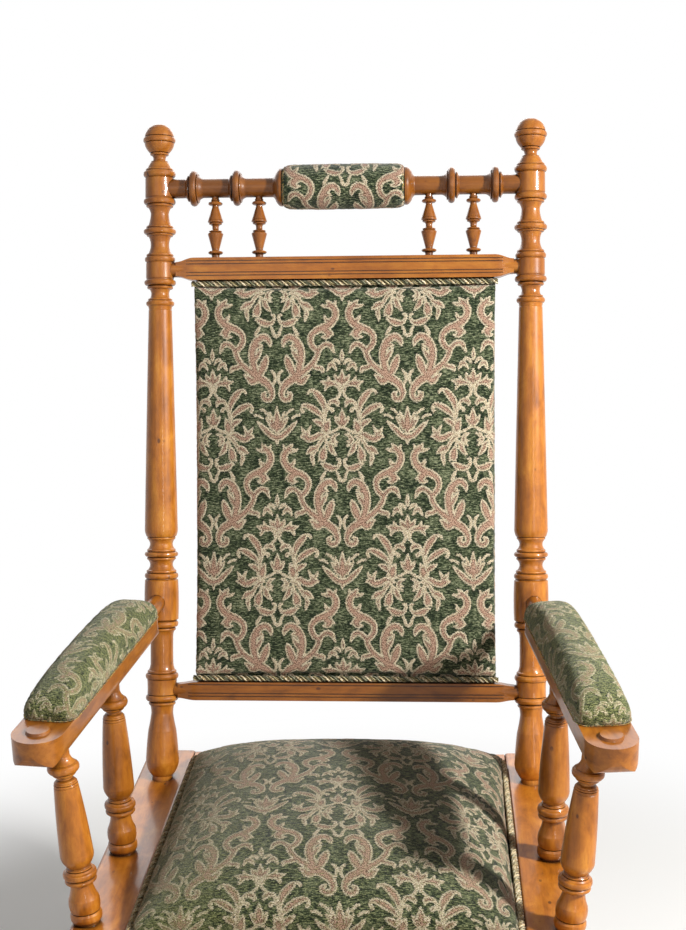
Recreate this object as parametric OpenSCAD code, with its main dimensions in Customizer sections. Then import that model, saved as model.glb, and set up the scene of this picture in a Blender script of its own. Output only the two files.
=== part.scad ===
// Platform rocker: a turned spindle frame with an upholstered seat, back, arms
// and head roll, which rocks on a fixed base. Millimetres, +Z up, +Y to the back.
// The origin is on the floor, at the middle of the chair's length and width.

/* [Seat] */
// Height of the seat boards' top above the floor
seat_h = 375; // [350:1:400]
// Width between the two seat boards
opening_w = 392; // [370:2:410]
// Width of each side board
board_w = 61; // [56:1:66]
// Thickness of the seat boards and rails
board_t = 26; // [24:1:30]
// How far the side boards reach behind the posts' feet
board_back = 84; // [70:1:95]
// How far the side boards reach in front of the posts' feet
board_front = 420; // [400:5:440]
// Width of the rail across the front of the seat
front_rail_w = 35; // [30:1:45]
// Width of the rail across the back of the seat
rear_rail_w = 24; // [20:1:28]
// Radius of the boards' rounded top edges
edge_r = 5; // [3:0.5:7]
// Height of the seat cushion's crown above its edge
seat_crown = 62; // [45:1:70]
// Thickness of the twisted cord round the cushions
cord_d = 8.5; // [7:0.5:9]

/* [Back] */
// Distance between the two back posts
post_spacing = 450; // [440:2:460]
// Angle at which the back leans from the vertical
rake = 12.2; // [10:0.1:14]
// Length of a back post above the seat board
post_len = 800; // [780:5:820]
// Largest radius of a post's rings
post_r = 20.8; // [20:0.1:21.5]
// Height of the crest rail's axis along the posts
crest_at = 720.5; // [717:0.5:725]
// Radius of the crest rail's plain lengths
crest_r = 11.9; // [11:0.1:12.5]
// Largest radius of the crest rail's rings
crest_ring_r = 21.6; // [20:0.1:23]
// Height of the upper rail's middle along the posts
upper_rail_at = 622; // [619:1:625]
// Height of the upper rail's face
upper_rail_h = 27; // [24:1:29]
// Height of the lower rail's middle along the posts
lower_rail_at = 108; // [105:0.5:111]
// Height of the lower rail's face
lower_rail_h = 22; // [21:0.5:27]
// Thickness of the back rails
back_rail_t = 20; // [18:1:22]
// Radius of the back rails' round necks
rail_neck_r = 9.2; // [8.6:0.1:9.6]
// Width of the upholstered back panel
panel_w = 365; // [350:1:370]
// Height of the back panel's crown above its edge
panel_crown = 12; // [8:1:16]
// Length of the covered head roll
roll_len = 148; // [130:1:155]
// Largest radius of the covered head roll
roll_r = 27; // [25:0.5:29]
// Largest radius of a gallery spindle
gallery_r = 9.4; // [8.5:0.1:10]

/* [Arms] */
// Length of an arm from the post's axis to its front tip
arm_len = 433; // [420:1:445]
// Width of the wooden arm
arm_w = 52; // [48:1:56]
// Thickness of the wooden arm
arm_t = 30; // [28:1:33]
// Height of the arm's axis above the seat board at the post
arm_h = 217; // [210:1:224]
// Angle at which the arms spread towards the front
arm_splay = 7.2; // [6:0.1:8]
// Angle at which the arms fall towards the front
arm_fall = 3.4; // [2.6:0.1:4.2]
// Radius of the round neck that enters the post
arm_neck_r = 9.5; // [9:0.1:10]
// Length of the arm pad
pad_len = 290; // [270:1:300]
// Width of the arm pad
pad_w = 55; // [50:1:58]
// Height of the arm pad's crown above its edge
pad_crown = 27; // [20:1:30]
// Largest radius of an arm spindle
arm_spindle_r = 16.8; // [15:0.1:17.5]

/* [Legs and rockers] */
// Radius of the curve on which the chair rocks
rocker_curve_r = 600; // [560:5:640]
// Depth of a rocker
rocker_d = 52; // [46:1:56]
// Thickness of the rockers and of the base rails
rocker_t = 30; // [26:1:34]
// Half length of a rocker
rocker_half = 265; // [250:5:270]
// Largest radius of a seat leg
leg_r = 18; // [16:0.5:19]
// Distance of the legs from the middle of the rocker
leg_off = 180; // [170:1:185]
// Distance of the rocker stretchers from the middle of the rocker
rocker_stretcher_off = 140; // [130:1:145]
// Largest radius of a stretcher
stretcher_r = 15; // [13:0.5:16]

/* [Base] */
// Length of a base rail
base_len = 600; // [580:5:620]
// Height of a base rail
base_rail_h = 50; // [46:1:54]
// Height of a turned foot
foot_h = 42; // [38:1:46]
// Largest radius of a turned foot
foot_r = 22; // [20:0.5:24]
// Distance of the feet from the middle of the base rail
foot_off = 252; // [240:1:255]
// Distance of the base stretchers from the middle of the base rail
base_stretcher_off = 212; // [200:1:220]
// How far the rocking pivot lies in front of the posts' feet
pivot_ahead = 150; // [140:1:160]
// Gap between the rocker's lowest point and the base rail
rocking_gap = 9; // [8.5:0.5:11]

/* [Iron fittings] */
// Radius of the pivot pin
pin_r = 5; // [4:0.5:6]
// Radius of the iron eye round the pin
eye_r = 12; // [11:0.5:13]
// Thickness of the iron eye and of each ear
eye_t = 6; // [5:0.5:7]
// Thickness of the iron plates
iron_t = 4; // [3:0.5:5]
// Half length of the iron plates
plate_half = 58; // [56:1:62]
// Distance of the coil springs from the pivot
spring_off = 45; // [43:1:47]
// Height of a rocker spring
spring_h = 60; // [56:1:62]
// Outer radius of a rocker spring
spring_r = 12; // [10:0.5:12.5]
// Thickness of a rocker spring's wire
wire_d = 3.4; // [2.6:0.1:4]
// Number of curls in a rocker spring
spring_curls = 6; // [5:1:7]

/* [Inner upholstery] */
// Height of a seat spring
seat_spring_h = 50; // [44:1:52]
// Radius of a seat spring at its ends
seat_spring_r = 32; // [28:1:34]
// Radius of a seat spring at its waist
seat_spring_waist = 21; // [18:1:24]
// Thickness of a seat spring's wire
seat_wire_d = 3; // [2.4:0.1:3.4]
// Number of curls in a seat spring
seat_spring_curls = 4; // [3:1:5]
// Width of a webbing strap
strap_w = 50; // [44:1:56]
// Thickness of a webbing strap
strap_t = 1.5; // [1.2:0.1:2]
// Thickness of the lining and dust cover cloth
cloth_t = 1.2; // [1:0.1:1.6]

/* [Hidden] */

// Clearances and allowances
gap = 0.3;
pin_gap = 0.05;
overrun = 2;
round_fn = 36;
curve_fn = 180;
bead_steps = 6;
curve_steps = 6;

// The widest bead of the ball at the head of a post: its place and its radius, as
// shares of the post's length and of its largest radius
ball_at_share = 0.9747;
ball_r_share = 0.9415;
// Turned outlines run from the lower or inner end. A row of two is a point, a row
// of four is a bead (middle, half width, foot radius, crest radius), and a row of
// five is a curve (start, end, start radius, end radius, bulge). All are shares of
// the turning's length and of its largest radius.
post_shares = [
    [0, 0.6], [0.0038, 0.6], [0.0042, 0.031, 0.61, 0.965, 0.12],
    [0.031, 0.074, 0.965, 0.825, 0.014], [0.074, 0.1, 0.825, 0.64, -0.015],
    [0.1, 0.1125, 0.64, 0.7, -0.015],
    [0.1153, 0.0028, 0.71, 0.79], [0.1238, 0.005, 0.8, 0.96],
    [0.1295, 0.152, 0.865, 0.87, -0.015],
    [0.157, 0.0045, 0.85, 0.965], [0.1636, 0.0024, 0.79, 0.85],
    [0.1665, 0.178, 0.76, 0.67, -0.025], [0.178, 0.2185, 0.67, 0.67, -0.006],
    [0.2185, 0.2262, 0.67, 0.74, -0.015],
    [0.229, 0.0026, 0.75, 0.83], [0.237, 0.0045, 0.86, 0.975], [0.2425, 0.89],
    [0.2442, 0.304, 0.98, 0.975, 0.03], [0.3058, 0.89],
    [0.3107, 0.0042, 0.88, 0.985], [0.3173, 0.0024, 0.81, 0.88],
    [0.32, 0.3348, 0.79, 0.78, -0.12],
    [0.3372, 0.0022, 0.79, 0.85], [0.3435, 0.0038, 0.84, 0.98], [0.3495, 0.0022, 0.79, 0.84],
    [0.352, 0.366, 0.77, 0.77, -0.105], [0.3683, 0.002, 0.78, 0.83],
    [0.3705, 0.383, 0.86, 0.968, 0.035], [0.383, 0.7155, 0.968, 0.68, 0.008],
    [0.7165, 0.66],
    [0.7262, 0.0042, 0.7, 0.825], [0.7318, 0.002, 0.64, 0.71],
    [0.734, 0.7475, 0.6, 0.6, -0.08],
    [0.7505, 0.0024, 0.68, 0.76], [0.758, 0.0045, 0.79, 0.925],
    [0.7635, 0.79], [0.765, 0.8175], [0.787, 0.812], [0.7883, 0.785],
    [0.7932, 0.0042, 0.79, 0.885], [0.7993, 0.0024, 0.72, 0.79],
    [0.802, 0.8285, 0.68, 0.66, -0.135],
    [0.8305, 0.0022, 0.71, 0.78], [0.8357, 0.0042, 0.82, 0.945], [0.842, 0.0022, 0.73, 0.79],
    [0.8445, 0.8625, 0.67, 0.525, -0.03], [0.8625, 0.8725, 0.525, 0.68, -0.03],
    [0.8748, 0.0023, 0.72, 0.79], [0.8813, 0.0044, 0.82, 0.935],
    [0.8865, 0.81], [0.888, 0.838], [0.916, 0.832], [0.9173, 0.8],
    [0.9228, 0.0048, 0.82, 0.94], [0.9292, 0.0018, 0.76, 0.81],
    [0.9318, 0.9405, 0.7, 0.53, 0.012], [0.9412, 0.48], [0.9422, 0.49],
    [0.943, 0.951, 0.4, 0.43, -0.055], [0.9532, 0.0018, 0.48, 0.545],
    [0.9555, 0.9695, 0.57, 0.862, 0.06], [0.9702, 0.83],
    [ball_at_share, 0.0042, 0.85, ball_r_share], [0.9792, 0.82],
    [0.9798, 0.9895, 0.86, 0.72, 0.03], [0.9895, 0.9955, 0.72, 0.5, 0.03],
    [0.9955, 0.9985, 0.5, 0.12, 0.07]
];
gallery_shares = [
    [0, 0.5], [0.045, 0.5], [0.058, 0.56], [0.092, 0.03, 0.6, 0.965], [0.13, 0.48],
    [0.15, 0.49], [0.385, 0.975], [0.403, 1.0], [0.417, 0.93], [0.425, 0.84],
    [0.443, 0.012, 0.75, 0.84], [0.462, 0.58], [0.476, 0.536, 0.45, 0.45, -0.04],
    [0.552, 0.6], [0.572, 0.013, 0.76, 0.84], [0.588, 0.86], [0.598, 1.0], [0.612, 0.985],
    [0.629, 0.95], [0.632, 0.91], [0.635, 0.935], [0.847, 0.42],
    [0.868, 0.42], [0.906, 0.032, 0.56, 0.935], [0.942, 0.55],
    [0.962, 0.014, 0.5, 0.56], [0.98, 0.46], [1, 0.46]
];
arm_spindle_shares = [
    [0, 0.72], [0.0078, 0.72], [0.0415, 0.0325, 0.8, 0.965], [0.0755, 0.85],
    [0.078, 0.15, 0.89, 0.91, 0.05], [0.15, 0.236, 0.91, 0.655, -0.045],
    [0.242, 0.7], [0.262, 0.0155, 0.79, 0.965], [0.2795, 0.9],
    [0.298, 0.0172, 0.93, 1.015], [0.3175, 0.87], [0.3265, 0.79],
    [0.334, 0.006, 0.71, 0.77], [0.3445, 0.66],
    [0.35, 0.43, 0.7, 1.0, 0.11], [0.43, 0.82, 1.0, 0.735, 0.035],
    [0.8245, 0.69], [0.832, 0.0062, 0.69, 0.725], [0.8455, 0.0055, 0.65, 0.69],
    [0.8525, 0.865, 0.62, 0.5, 0.03], [0.868, 0.45], [0.879, 0.45],
    [0.8825, 0.9025, 0.54, 0.73, 0.045], [0.9055, 0.69],
    [0.932, 0.0235, 0.77, 0.955], [0.9578, 0.74],
    [0.96, 0.99, 0.76, 0.53, -0.035], [1, 0.49]
];
leg_shares = [
    [0, 0.62], [0.05, 0.62], [0.085, 0.028, 0.8, 0.98], [0.125, 0.015, 0.66, 0.78],
    [0.145, 0.6], [0.165, 0.22, 0.66, 0.98, 0.09], [0.68, 0.66],
    [0.7, 0.014, 0.6, 0.7], [0.72, 0.56], [0.745, 0.56],
    [0.8, 0.032, 0.78, 1.0], [0.85, 0.015, 0.66, 0.8],
    [0.87, 0.94, 0.62, 0.84, -0.05], [1, 0.86]
];
foot_shares = [
    [0, 0.62], [0.04, 0.66], [0.06, 0.74, 0.72, 0.6, 0.34],
    [0.76, 0.54], [0.84, 0.06, 0.6, 0.76], [0.91, 0.7], [1, 0.7]
];
// Half of a stretcher, from its middle to its shoulder
stretcher_shares = [
    [0, 1.0], [0.012, 0.99], [0.03, 0.86], [0.045, 0.012, 0.7, 0.82],
    [0.06, 0.62], [0.075, 0.3, 0.66, 0.62, 0.16], [0.31, 0.55],
    [0.335, 0.018, 0.72, 0.94], [0.36, 0.6], [0.375, 0.8, 0.72, 0.6, 0.08],
    [0.815, 0.014, 0.66, 0.82], [0.835, 0.56], [1, 0.62]
];
// Half of the crest rail, from its middle to the post, in shares of half the post
// spacing and of its ring radius
crest_core_share = 0.463;
crest_inner_ring_share = 0.578;
crest_outer_ring_share = 0.811;
// The cup that holds an end of the head roll, from its face
crest_cup_shares = [
    [0, crest_core_share], [0, 1.06], [0.011, 1.055], [0.011, 0.035, 1.055, 0.8, 0.045],
    [0.0365, 0.75], [0.038, 0.053, 0.7, 0.54, -0.03]
];
// One ring of the crest rail, about its own middle
crest_ring_shares = [
    [-0.058, -0.0265, 0.532, 0.69, -0.045], [-0.0225, 0.0035, 0.75, 0.83],
    [0, 0.0182, 0.84, 1.0], [0.0205, 0.67], [0.028, 0.0058, 0.67, 0.74],
    [0.0365, 0.6], [0.043, 0.532]
];
// The covered head roll's swelling, from one end to its middle
roll_shares = [[0, 0.8], [0.02, 0.89], [0.06, 0.925], [0.25, 0.97], [0.5, 1.0]];
// Places of the double grooves, as shares of the upper rail's height. The lower rail is
// cut from the same moulding, and takes those that fit on it.
groove_shares = [0.19, 0.325, 0.71, 0.845];
// Places of the gallery spindles, as shares of half the post spacing
gallery_at_shares = [-0.6955, -0.4578, 0.4578, 0.6955];
// Places of the back straps, and of the seat straps across and along
back_strap_shares = [-0.76, -0.38, 0, 0.38, 0.76];
cross_strap_shares = [-0.8, -0.4, 0, 0.4, 0.8];
long_strap_shares = [-0.5, 0, 0.5];
// Places of the seat springs, where those straps cross
seat_spring_shares = [for (along = [-0.4, 0.4], across = long_strap_shares) [across, along]];

// Posts, sockets and necks
post_foot_r = post_shares[0][1] * post_r;
post_foot_deep = board_t / 2;
neck_stop = 4;
ball_at = ball_at_share * post_len;
ball_r = ball_r_share * post_r;
half_post = post_spacing / 2;

// Places along the length of the chair
foot_y = (base_len / 2 + pivot_ahead - ball_at * sin(rake) - ball_r) / 2;
pivot_y = foot_y - pivot_ahead;
half_open = opening_w / 2;
board_rear_y = foot_y + board_back;
board_front_y = foot_y - board_front;
open_rear_y = board_rear_y - rear_rail_w;
open_front_y = board_front_y + front_rail_w;
open_mid_y = (open_rear_y + open_front_y) / 2;
open_half_y = (open_rear_y - open_front_y) / 2;
board_under = seat_h - board_t;
board_corner_r = 18;

// Arms
arm_neck_y = foot_y + arm_h * tan(rake);
arm_body_at = 77;
arm_tip_r = arm_w / 2;
arm_corner_r = 13;
arm_front_round = 16;
arm_rear_round = 12;
pad_at = 93;
pad_edge = 8;
button_r = 11;
button_t = 3;
// Arm spindles: places of their feet and tops, from the posts' feet
rear_spindle_y = 194;
rear_spindle_x = 235;
rear_spindle_lean = 0.9;
front_spindle_y = 346;
front_spindle_x = 241;
front_spindle_lean = 5.2;
spindle_tenon = 10;
spindle_foot_deep = 3;
spindle_foot_r = arm_spindle_shares[0][1] * arm_spindle_r;
spindle_neck_r = arm_spindle_shares[len(arm_spindle_shares) - 1][1] * arm_spindle_r;

// Rockers, rails and pivot
rail_x = half_open + board_w / 2;
rail_top = foot_h + base_rail_h;
pivot_z = rail_top + rocking_gap / 2;
rocker_cz = rail_top + rocking_gap + rocker_curve_r;
rocker_mid_r = rocker_curve_r - rocker_d / 2;
rocker_angle = asin(rocker_half / rocker_mid_r);
rocker_end_swell = 3;
rocker_end_r = rocker_d / 2 + rocker_end_swell;
inner_face = rail_x - rocker_t / 2;
leg_tenon_r = 10;
leg_tenon = 12;
leg_foot_r = leg_shares[0][1] * leg_r;
leg_foot_deep = 16;
foot_tenon_r = 9;
foot_tenon = 14;
stretcher_tenon_r = stretcher_shares[len(stretcher_shares) - 1][1] * stretcher_r;
stretcher_tenon = 12;

// Springs and irons
ledge_rim = 1;
ledge_half = spring_r + ledge_rim;
spring_below_share = 0.65;
lower_ledge_z = pivot_z - spring_h * spring_below_share;
upper_ledge_z = lower_ledge_z + spring_h + 2 * gap;
spring_d = iron_t + ledge_rim + spring_r;
ledge_out = spring_d + ledge_half;
ear_d = gap;
eye_d = ear_d + eye_t + gap;
inner_ear_d = eye_d + eye_t + gap;
ears_out = inner_ear_d + eye_t;
plate_in = 3;
lower_plate_z = foot_h + plate_in;
lower_plate_top = rail_top - plate_in;
upper_plate_top = rail_top + rocking_gap + rocker_d - plate_in;
ear_len = 36;
lower_block_z = pivot_z - ear_len;
lower_block_h = 12;
upper_block_h = 13;
pin_head_r = 8;
pin_head_t = 3;
screw_r = 2.2;
screw_head_r = 3.6;
screw_head_t = 2.2;
screw_len = 18;
screw_gap = 0.3;
upper_screw_in = 10;
lower_screw_in = 4.4;
mid_screw_in = 11;
upper_screw_z = upper_plate_top - upper_screw_in;
lower_screw_z = lower_plate_z + lower_screw_in;
mid_screw_z = lower_plate_top - mid_screw_in;
upper_screws = [[-spring_off, upper_screw_z], [0, upper_screw_z], [spring_off, upper_screw_z]];
lower_screws = [
    [-spring_off, lower_screw_z], [spring_off, lower_screw_z],
    [-spring_off / 2, mid_screw_z], [spring_off / 2, mid_screw_z]
];

// Upholstery
cord_r = cord_d / 2;
cushion_sink = board_t / 2;
cord_in = 1;
cushion_tuck = cord_r + cord_in;
seat_edge = cushion_sink + cord_d;
cushion_draw = 3;
pocket_in = 55;
pocket_top = seat_h - board_t + seat_spring_h + gap;
panel_lo = lower_rail_at + lower_rail_h / 2 + gap;
panel_hi = upper_rail_at - upper_rail_h / 2 - gap;
panel_edge_in = 1;
panel_ledge = back_rail_t / 2 - panel_edge_in;
panel_rise = 6;
panel_edge = panel_ledge + panel_rise;
strap_lap = 12;

// Colours
wood = "peru";
dark_wood = "sienna";
damask = "darkolivegreen";
iron = "dimgray";
linen = "tan";

// Points of one row of a turned outline, in shares
function bead_points(row) = [
    for (i = [0:bead_steps])
        let (a = 180 * i / bead_steps)
        [row[0] - row[1] * cos(a), row[2] + (row[3] - row[2]) * sin(a)]
];
function curve_points(row) = [
    for (i = [0:curve_steps])
        let (t = i / curve_steps)
        [row[0] + (row[1] - row[0]) * t,
         row[2] + (row[3] - row[2]) * t + 4 * row[4] * t * (1 - t)]
];
function row_points(row) =
    len(row) == 2 ? [row] : len(row) == 4 ? bead_points(row) : curve_points(row);
function outline(shares) = [for (row = shares) each row_points(row)];
function scaled(points, length, radius) = [for (p = points) [p[1] * radius, p[0] * length]];
function moved(points, at) = [for (p = points) [p[0] + at, p[1]]];
function backwards(points) = [for (i = [len(points) - 1:-1:0]) [-points[i][0], points[i][1]]];

// A turned solid along +Z from a finished outline of radius and height
module turned(points) {
    first = points[0];
    last = points[len(points) - 1];
    rotate_extrude($fn = round_fn)
        polygon(concat([[0, first[1]]], points, [[0, last[1]]]));
}

// A frame in the plane of the leaning back: x across, y to the rear, z up the posts
module back_plane() {
    translate([0, foot_y, seat_h]) rotate([-rake, 0, 0]) children();
}

// The frame of one arm: -y runs forward along it, from the post's axis
module arm_plane(side) {
    translate([side * half_post, arm_neck_y, seat_h + arm_h])
        rotate([0, 0, side * arm_splay]) rotate([arm_fall, 0, 0]) children();
}

// A rod from the frame's origin along -y
module rod_forward(from, length, radius) {
    translate([0, -from, 0]) rotate([90, 0, 0]) cylinder(h = length, r = radius, $fn = round_fn);
}

// A rod along x
module rod_across(from, length, radius) {
    translate([from, 0, 0]) rotate([0, 90, 0]) cylinder(h = length, r = radius, $fn = round_fn);
}

// An outline of y and z, given thickness along x
module side_plate(from, thick) {
    translate([from, 0, 0]) rotate([90, 0, 90]) linear_extrude(thick) children();
}

// Mirrors what is drawn for the right side over to the left
module sided(side) {
    if (side > 0) children();
    else mirror([1, 0, 0]) children();
}

// Places along a soft pad, closer together near its edges
function spread(i, n) = sin(90 * (2 * i / n - 1));

// Turns the square corner of an outline into a quarter round
function corner_shift(from, past, other) = from + past * sqrt(1 - other * other / 2);
function cornered(x, y, half_x, half_y, radius) =
    is_undef(radius) ? [x, y]
    : let (a = max(0, abs(x) - half_x + radius) / radius,
           b = max(0, abs(y) - half_y + radius) / radius)
      [sign(x) * corner_shift(min(abs(x), half_x - radius), radius * a, b),
       sign(y) * corner_shift(min(abs(y), half_y - radius), radius * b, a)];

// A crowned pad: flat below, its sides drawn in between the corners, with a row of
// steps in its side. steps: [inset x, inset y, height, corner radius if any], the last
// one at its edge.
module crowned_pad(half_x, half_y, steps, crown, draw, nx, ny, flatness, fullness) {
    top = steps[len(steps) - 1];
    across = nx + 1;
    count = 2 * (nx + ny);
    function rim(k) =
        k < nx ? [k, 0] : k < nx + ny ? [nx, k - nx]
        : k < 2 * nx + ny ? [2 * nx + ny - k, ny] : [0, count - k];
    function place(u, v, step) = cornered(
        u * (half_x - step[0] - draw * (1 - v * v)),
        v * (half_y - step[1] - draw * (1 - u * u)),
        half_x - step[0], half_y - step[1], step[3]
    );
    function swell(u, v) =
        crown * pow(max(0, (1 - pow(abs(u), flatness)) * (1 - pow(abs(v), flatness))), fullness);
    grid = [
        for (j = [0:ny], i = [0:nx])
            let (u = spread(i, nx), v = spread(j, ny), p = place(u, v, top))
            [p[0], p[1], top[2] + swell(u, v)]
    ];
    rings = [
        for (s = [0:1:len(steps) - 2], k = [0:count - 1])
            let (c = rim(k), p = place(spread(c[0], nx), spread(c[1], ny), steps[s]))
            [p[0], p[1], steps[s][2]]
    ];
    base = len(grid);
    centre = base + len(rings);
    levels = len(steps) - 1;
    function at(s, k) =
        s == levels ? rim(k % count)[1] * across + rim(k % count)[0] : base + s * count + k % count;
    top_faces = [
        for (j = [0:ny - 1], i = [0:nx - 1])
            let (a = j * across + i, b = a + 1, c = a + across, d = c + 1)
            each ((i < nx / 2) == (j < ny / 2) ? [[a, c, b], [b, c, d]] : [[a, d, b], [a, c, d]])
    ];
    side_faces = [
        for (s = [0:levels - 1], k = [0:count - 1])
            each [[at(s, k), at(s + 1, k), at(s, k + 1)], [at(s, k + 1), at(s + 1, k), at(s + 1, k + 1)]]
    ];
    base_faces = [for (k = [0:count - 1]) [at(0, k), at(0, k + 1), centre]];
    polyhedron(
        points = concat(grid, rings, [[0, 0, steps[0][2]]]),
        faces = concat(top_faces, side_faces, base_faces)
    );
}

// The middle line of a coil, which may be drawn in at its waist
ring_count = 8;
wire_sides = 6;
function coil_line(height, end_r, waist_r, curls) = [
    for (i = [0:curls * ring_count])
        let (t = i / (curls * ring_count), a = 360 * i / ring_count,
             r = waist_r + (end_r - waist_r) * pow(2 * t - 1, 2))
        [r * cos(a), r * sin(a), height * t]
];
function unit(v) = v / norm(v);
// Least distance between turns of a coil, less its wire, measured on its points
function coil_gap(line, wire) = min([
    for (i = [0:len(line) - 1], j = [i + ring_count / 2:1:len(line) - 1]) norm(line[i] - line[j])
]) - wire;
module coil(line, wire) {
    last = len(line) - 1;
    points = [
        for (i = [0:last])
            let (p = line[i],
                 along = unit(line[min(i + 1, last)] - line[max(i - 1, 0)]),
                 out = unit([p[0], p[1], 0]),
                 up = cross(along, out))
            for (k = [0:wire_sides - 1])
                let (a = 360 * k / wire_sides)
                p + wire / 2 * (cos(a) * out + sin(a) * up)
    ];
    walls = [
        for (i = [0:last - 1], k = [0:wire_sides - 1])
            let (a = i * wire_sides + k, b = i * wire_sides + (k + 1) % wire_sides,
                 c = a + wire_sides, d = b + wire_sides)
            each [[a, b, c], [b, d, c]]
    ];
    caps = [
        for (k = [1:wire_sides - 2])
            each [[0, k + 1, k], [last * wire_sides, last * wire_sides + k, last * wire_sides + k + 1]]
    ];
    polyhedron(points = points, faces = concat(walls, caps));
}

// Back frame
post_points = scaled(outline(post_shares), post_len, post_r);
module back_post(side) {
    color(wood) difference() {
        back_plane() translate([side * half_post, 0, 0]) difference() {
            union() {
                turned(post_points);
                translate([0, 0, -post_foot_deep])
                    cylinder(h = post_foot_deep + overrun, r = post_foot_r, $fn = round_fn);
            }
            translate([0, 0, crest_at]) post_socket(side, crest_r);
            translate([0, 0, upper_rail_at]) post_socket(side, rail_neck_r);
            translate([0, 0, lower_rail_at]) post_socket(side, rail_neck_r);
        }
        arm_plane(side) rod_forward(neck_stop - gap, post_r + overrun, arm_neck_r + gap);
    }
}
module post_socket(side, radius) {
    sided(-side) rod_across(neck_stop - gap, post_r + overrun, radius + gap);
}

crest_half = half_post - neck_stop;
function crest_ring(at) = moved(outline(crest_ring_shares), at);
crest_half_outline = concat(
    [[0, crest_core_share]],
    moved(outline(crest_cup_shares), (roll_len / 2 + gap) / half_post),
    crest_ring(crest_inner_ring_share),
    crest_ring(crest_outer_ring_share),
    [[crest_half / half_post, crest_r / crest_ring_r]]
);
module crest_rail() {
    points = concat(backwards(crest_half_outline), crest_half_outline);
    color(dark_wood) back_plane() difference() {
        translate([0, 0, crest_at]) rotate([0, 90, 0]) turned(scaled(points, half_post, crest_ring_r));
        for (share = gallery_at_shares) translate([share * half_post, 0, 0]) gallery_holes();
    }
}

roll_half_points = [for (p = roll_shares) [p[0] - 0.5, p[1]]];
module headrest_roll() {
    points = concat(roll_half_points, backwards(roll_half_points));
    color(damask) back_plane() translate([0, 0, crest_at]) rotate([0, 90, 0]) difference() {
        turned(scaled(points, roll_len, roll_r));
        translate([0, 0, -roll_len])
            cylinder(h = 2 * roll_len, r = crest_core_share * crest_ring_r + gap, $fn = round_fn);
    }
}

// Gallery spindles, between the upper rail and the crest rail
gallery_lo = upper_rail_at + upper_rail_h / 2;
gallery_hi = crest_at - crest_r;
gallery_plug = 5;
gallery_plug_r = gallery_shares[0][1] * gallery_r;
gallery_top_r = gallery_shares[len(gallery_shares) - 1][1] * gallery_r;
module gallery_holes() {
    translate([0, 0, gallery_lo - gallery_plug - gap])
        cylinder(h = gallery_plug + overrun, r = gallery_plug_r + gap, $fn = round_fn);
    translate([0, 0, gallery_hi - overrun])
        cylinder(h = gallery_plug + overrun + gap, r = gallery_top_r + gap, $fn = round_fn);
}
module gallery_spindle(k) {
    color(wood) back_plane() translate([gallery_at_shares[k] * half_post, 0, gallery_lo]) union() {
        turned(scaled(outline(gallery_shares), gallery_hi - gallery_lo, gallery_r));
        translate([0, 0, -gallery_plug])
            cylinder(h = gallery_plug + overrun, r = gallery_plug_r, $fn = round_fn);
        translate([0, 0, gallery_hi - gallery_lo - overrun])
            cylinder(h = gallery_plug + overrun, r = gallery_top_r, $fn = round_fn);
    }
}

// Upper and lower back rails: a grooved board, drawn in at its ends to round necks
rail_full = panel_w / 2;
rail_taper = 22;
rail_shoulder = 0.8;
rail_end_half = rail_neck_r - rail_shoulder;
groove_w = 1.4;
groove_deep = 1.2;
groove_over = 9;
groove_half = rail_full + groove_over;
function rail_outline(half) =
    let (top = [
            for (i = [0:curve_steps])
                let (t = i / curve_steps)
                [rail_full + rail_taper * t, half + (rail_end_half - half) * (1 - cos(180 * t)) / 2]
        ],
        right = concat([for (p = top) [p[0], -p[1]]], [for (i = [curve_steps:-1:0]) top[i]]))
    concat(right, [for (p = right) [-p[0], -p[1]]]);
module back_rail(at, height) {
    back_plane() translate([0, 0, at]) difference() {
        union() {
            intersection() {
                translate([0, back_rail_t, 0]) rotate([90, 0, 0])
                    linear_extrude(2 * back_rail_t) polygon(rail_outline(height / 2));
                translate([0, 0, -height]) linear_extrude(2 * height) polygon(rail_outline(back_rail_t / 2));
            }
            rod_across(-crest_half, 2 * crest_half, rail_neck_r);
        }
        for (share = groove_shares)
            if (share * upper_rail_h < height - 2 * groove_w)
                translate([
                    -groove_half, -back_rail_t / 2 - overrun,
                    share * upper_rail_h - (height + groove_w) / 2
                ]) cube([2 * groove_half, overrun + groove_deep, groove_w]);
    }
}
module back_upper_rail() {
    color(wood) difference() {
        back_rail(upper_rail_at, upper_rail_h);
        back_plane()
            for (share = gallery_at_shares) translate([share * half_post, 0, 0]) gallery_holes();
    }
}
module back_lower_rail() {
    color(wood) back_rail(lower_rail_at, lower_rail_h);
}

// Back upholstery
panel_mid = (panel_lo + panel_hi) / 2;
panel_half = (panel_hi - panel_lo) / 2;
panel_tuck = cord_d + gap;
panel_steps = [[0, 0, 0], [0, 0, panel_ledge], [0, panel_tuck, panel_ledge], [0, panel_tuck, panel_edge]];
module back_cushion() {
    color(damask) back_plane() translate([0, back_rail_t / 2 - gap, panel_mid]) rotate([90, 0, 0])
        crowned_pad(rail_full, panel_half, panel_steps, panel_crown, cushion_draw, 14, 20, 3.2, 0.5);
}
module back_piping(at) {
    color(linen) back_plane() translate([0, -cord_r - gap, at])
        rod_across(-rail_full - cord_r, 2 * rail_full + cord_d, cord_r);
}
module back_piping_top() {
    back_piping(panel_hi - cord_r);
}
module back_piping_bottom() {
    back_piping(panel_lo + cord_r);
}
module back_webbing() {
    color(linen) back_plane()
        for (share = back_strap_shares)
            translate([share * rail_full - strap_w / 2, back_rail_t / 2, panel_lo - strap_lap])
                cube([strap_w, strap_t, 2 * (panel_half + strap_lap)]);
}
lining_in = 2;
module back_lining() {
    color(damask) back_plane()
        translate([-rail_full + lining_in, back_rail_t / 2 + strap_t, panel_lo - strap_lap])
            cube([2 * (rail_full - lining_in), cloth_t, 2 * (panel_half + strap_lap)]);
}

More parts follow.
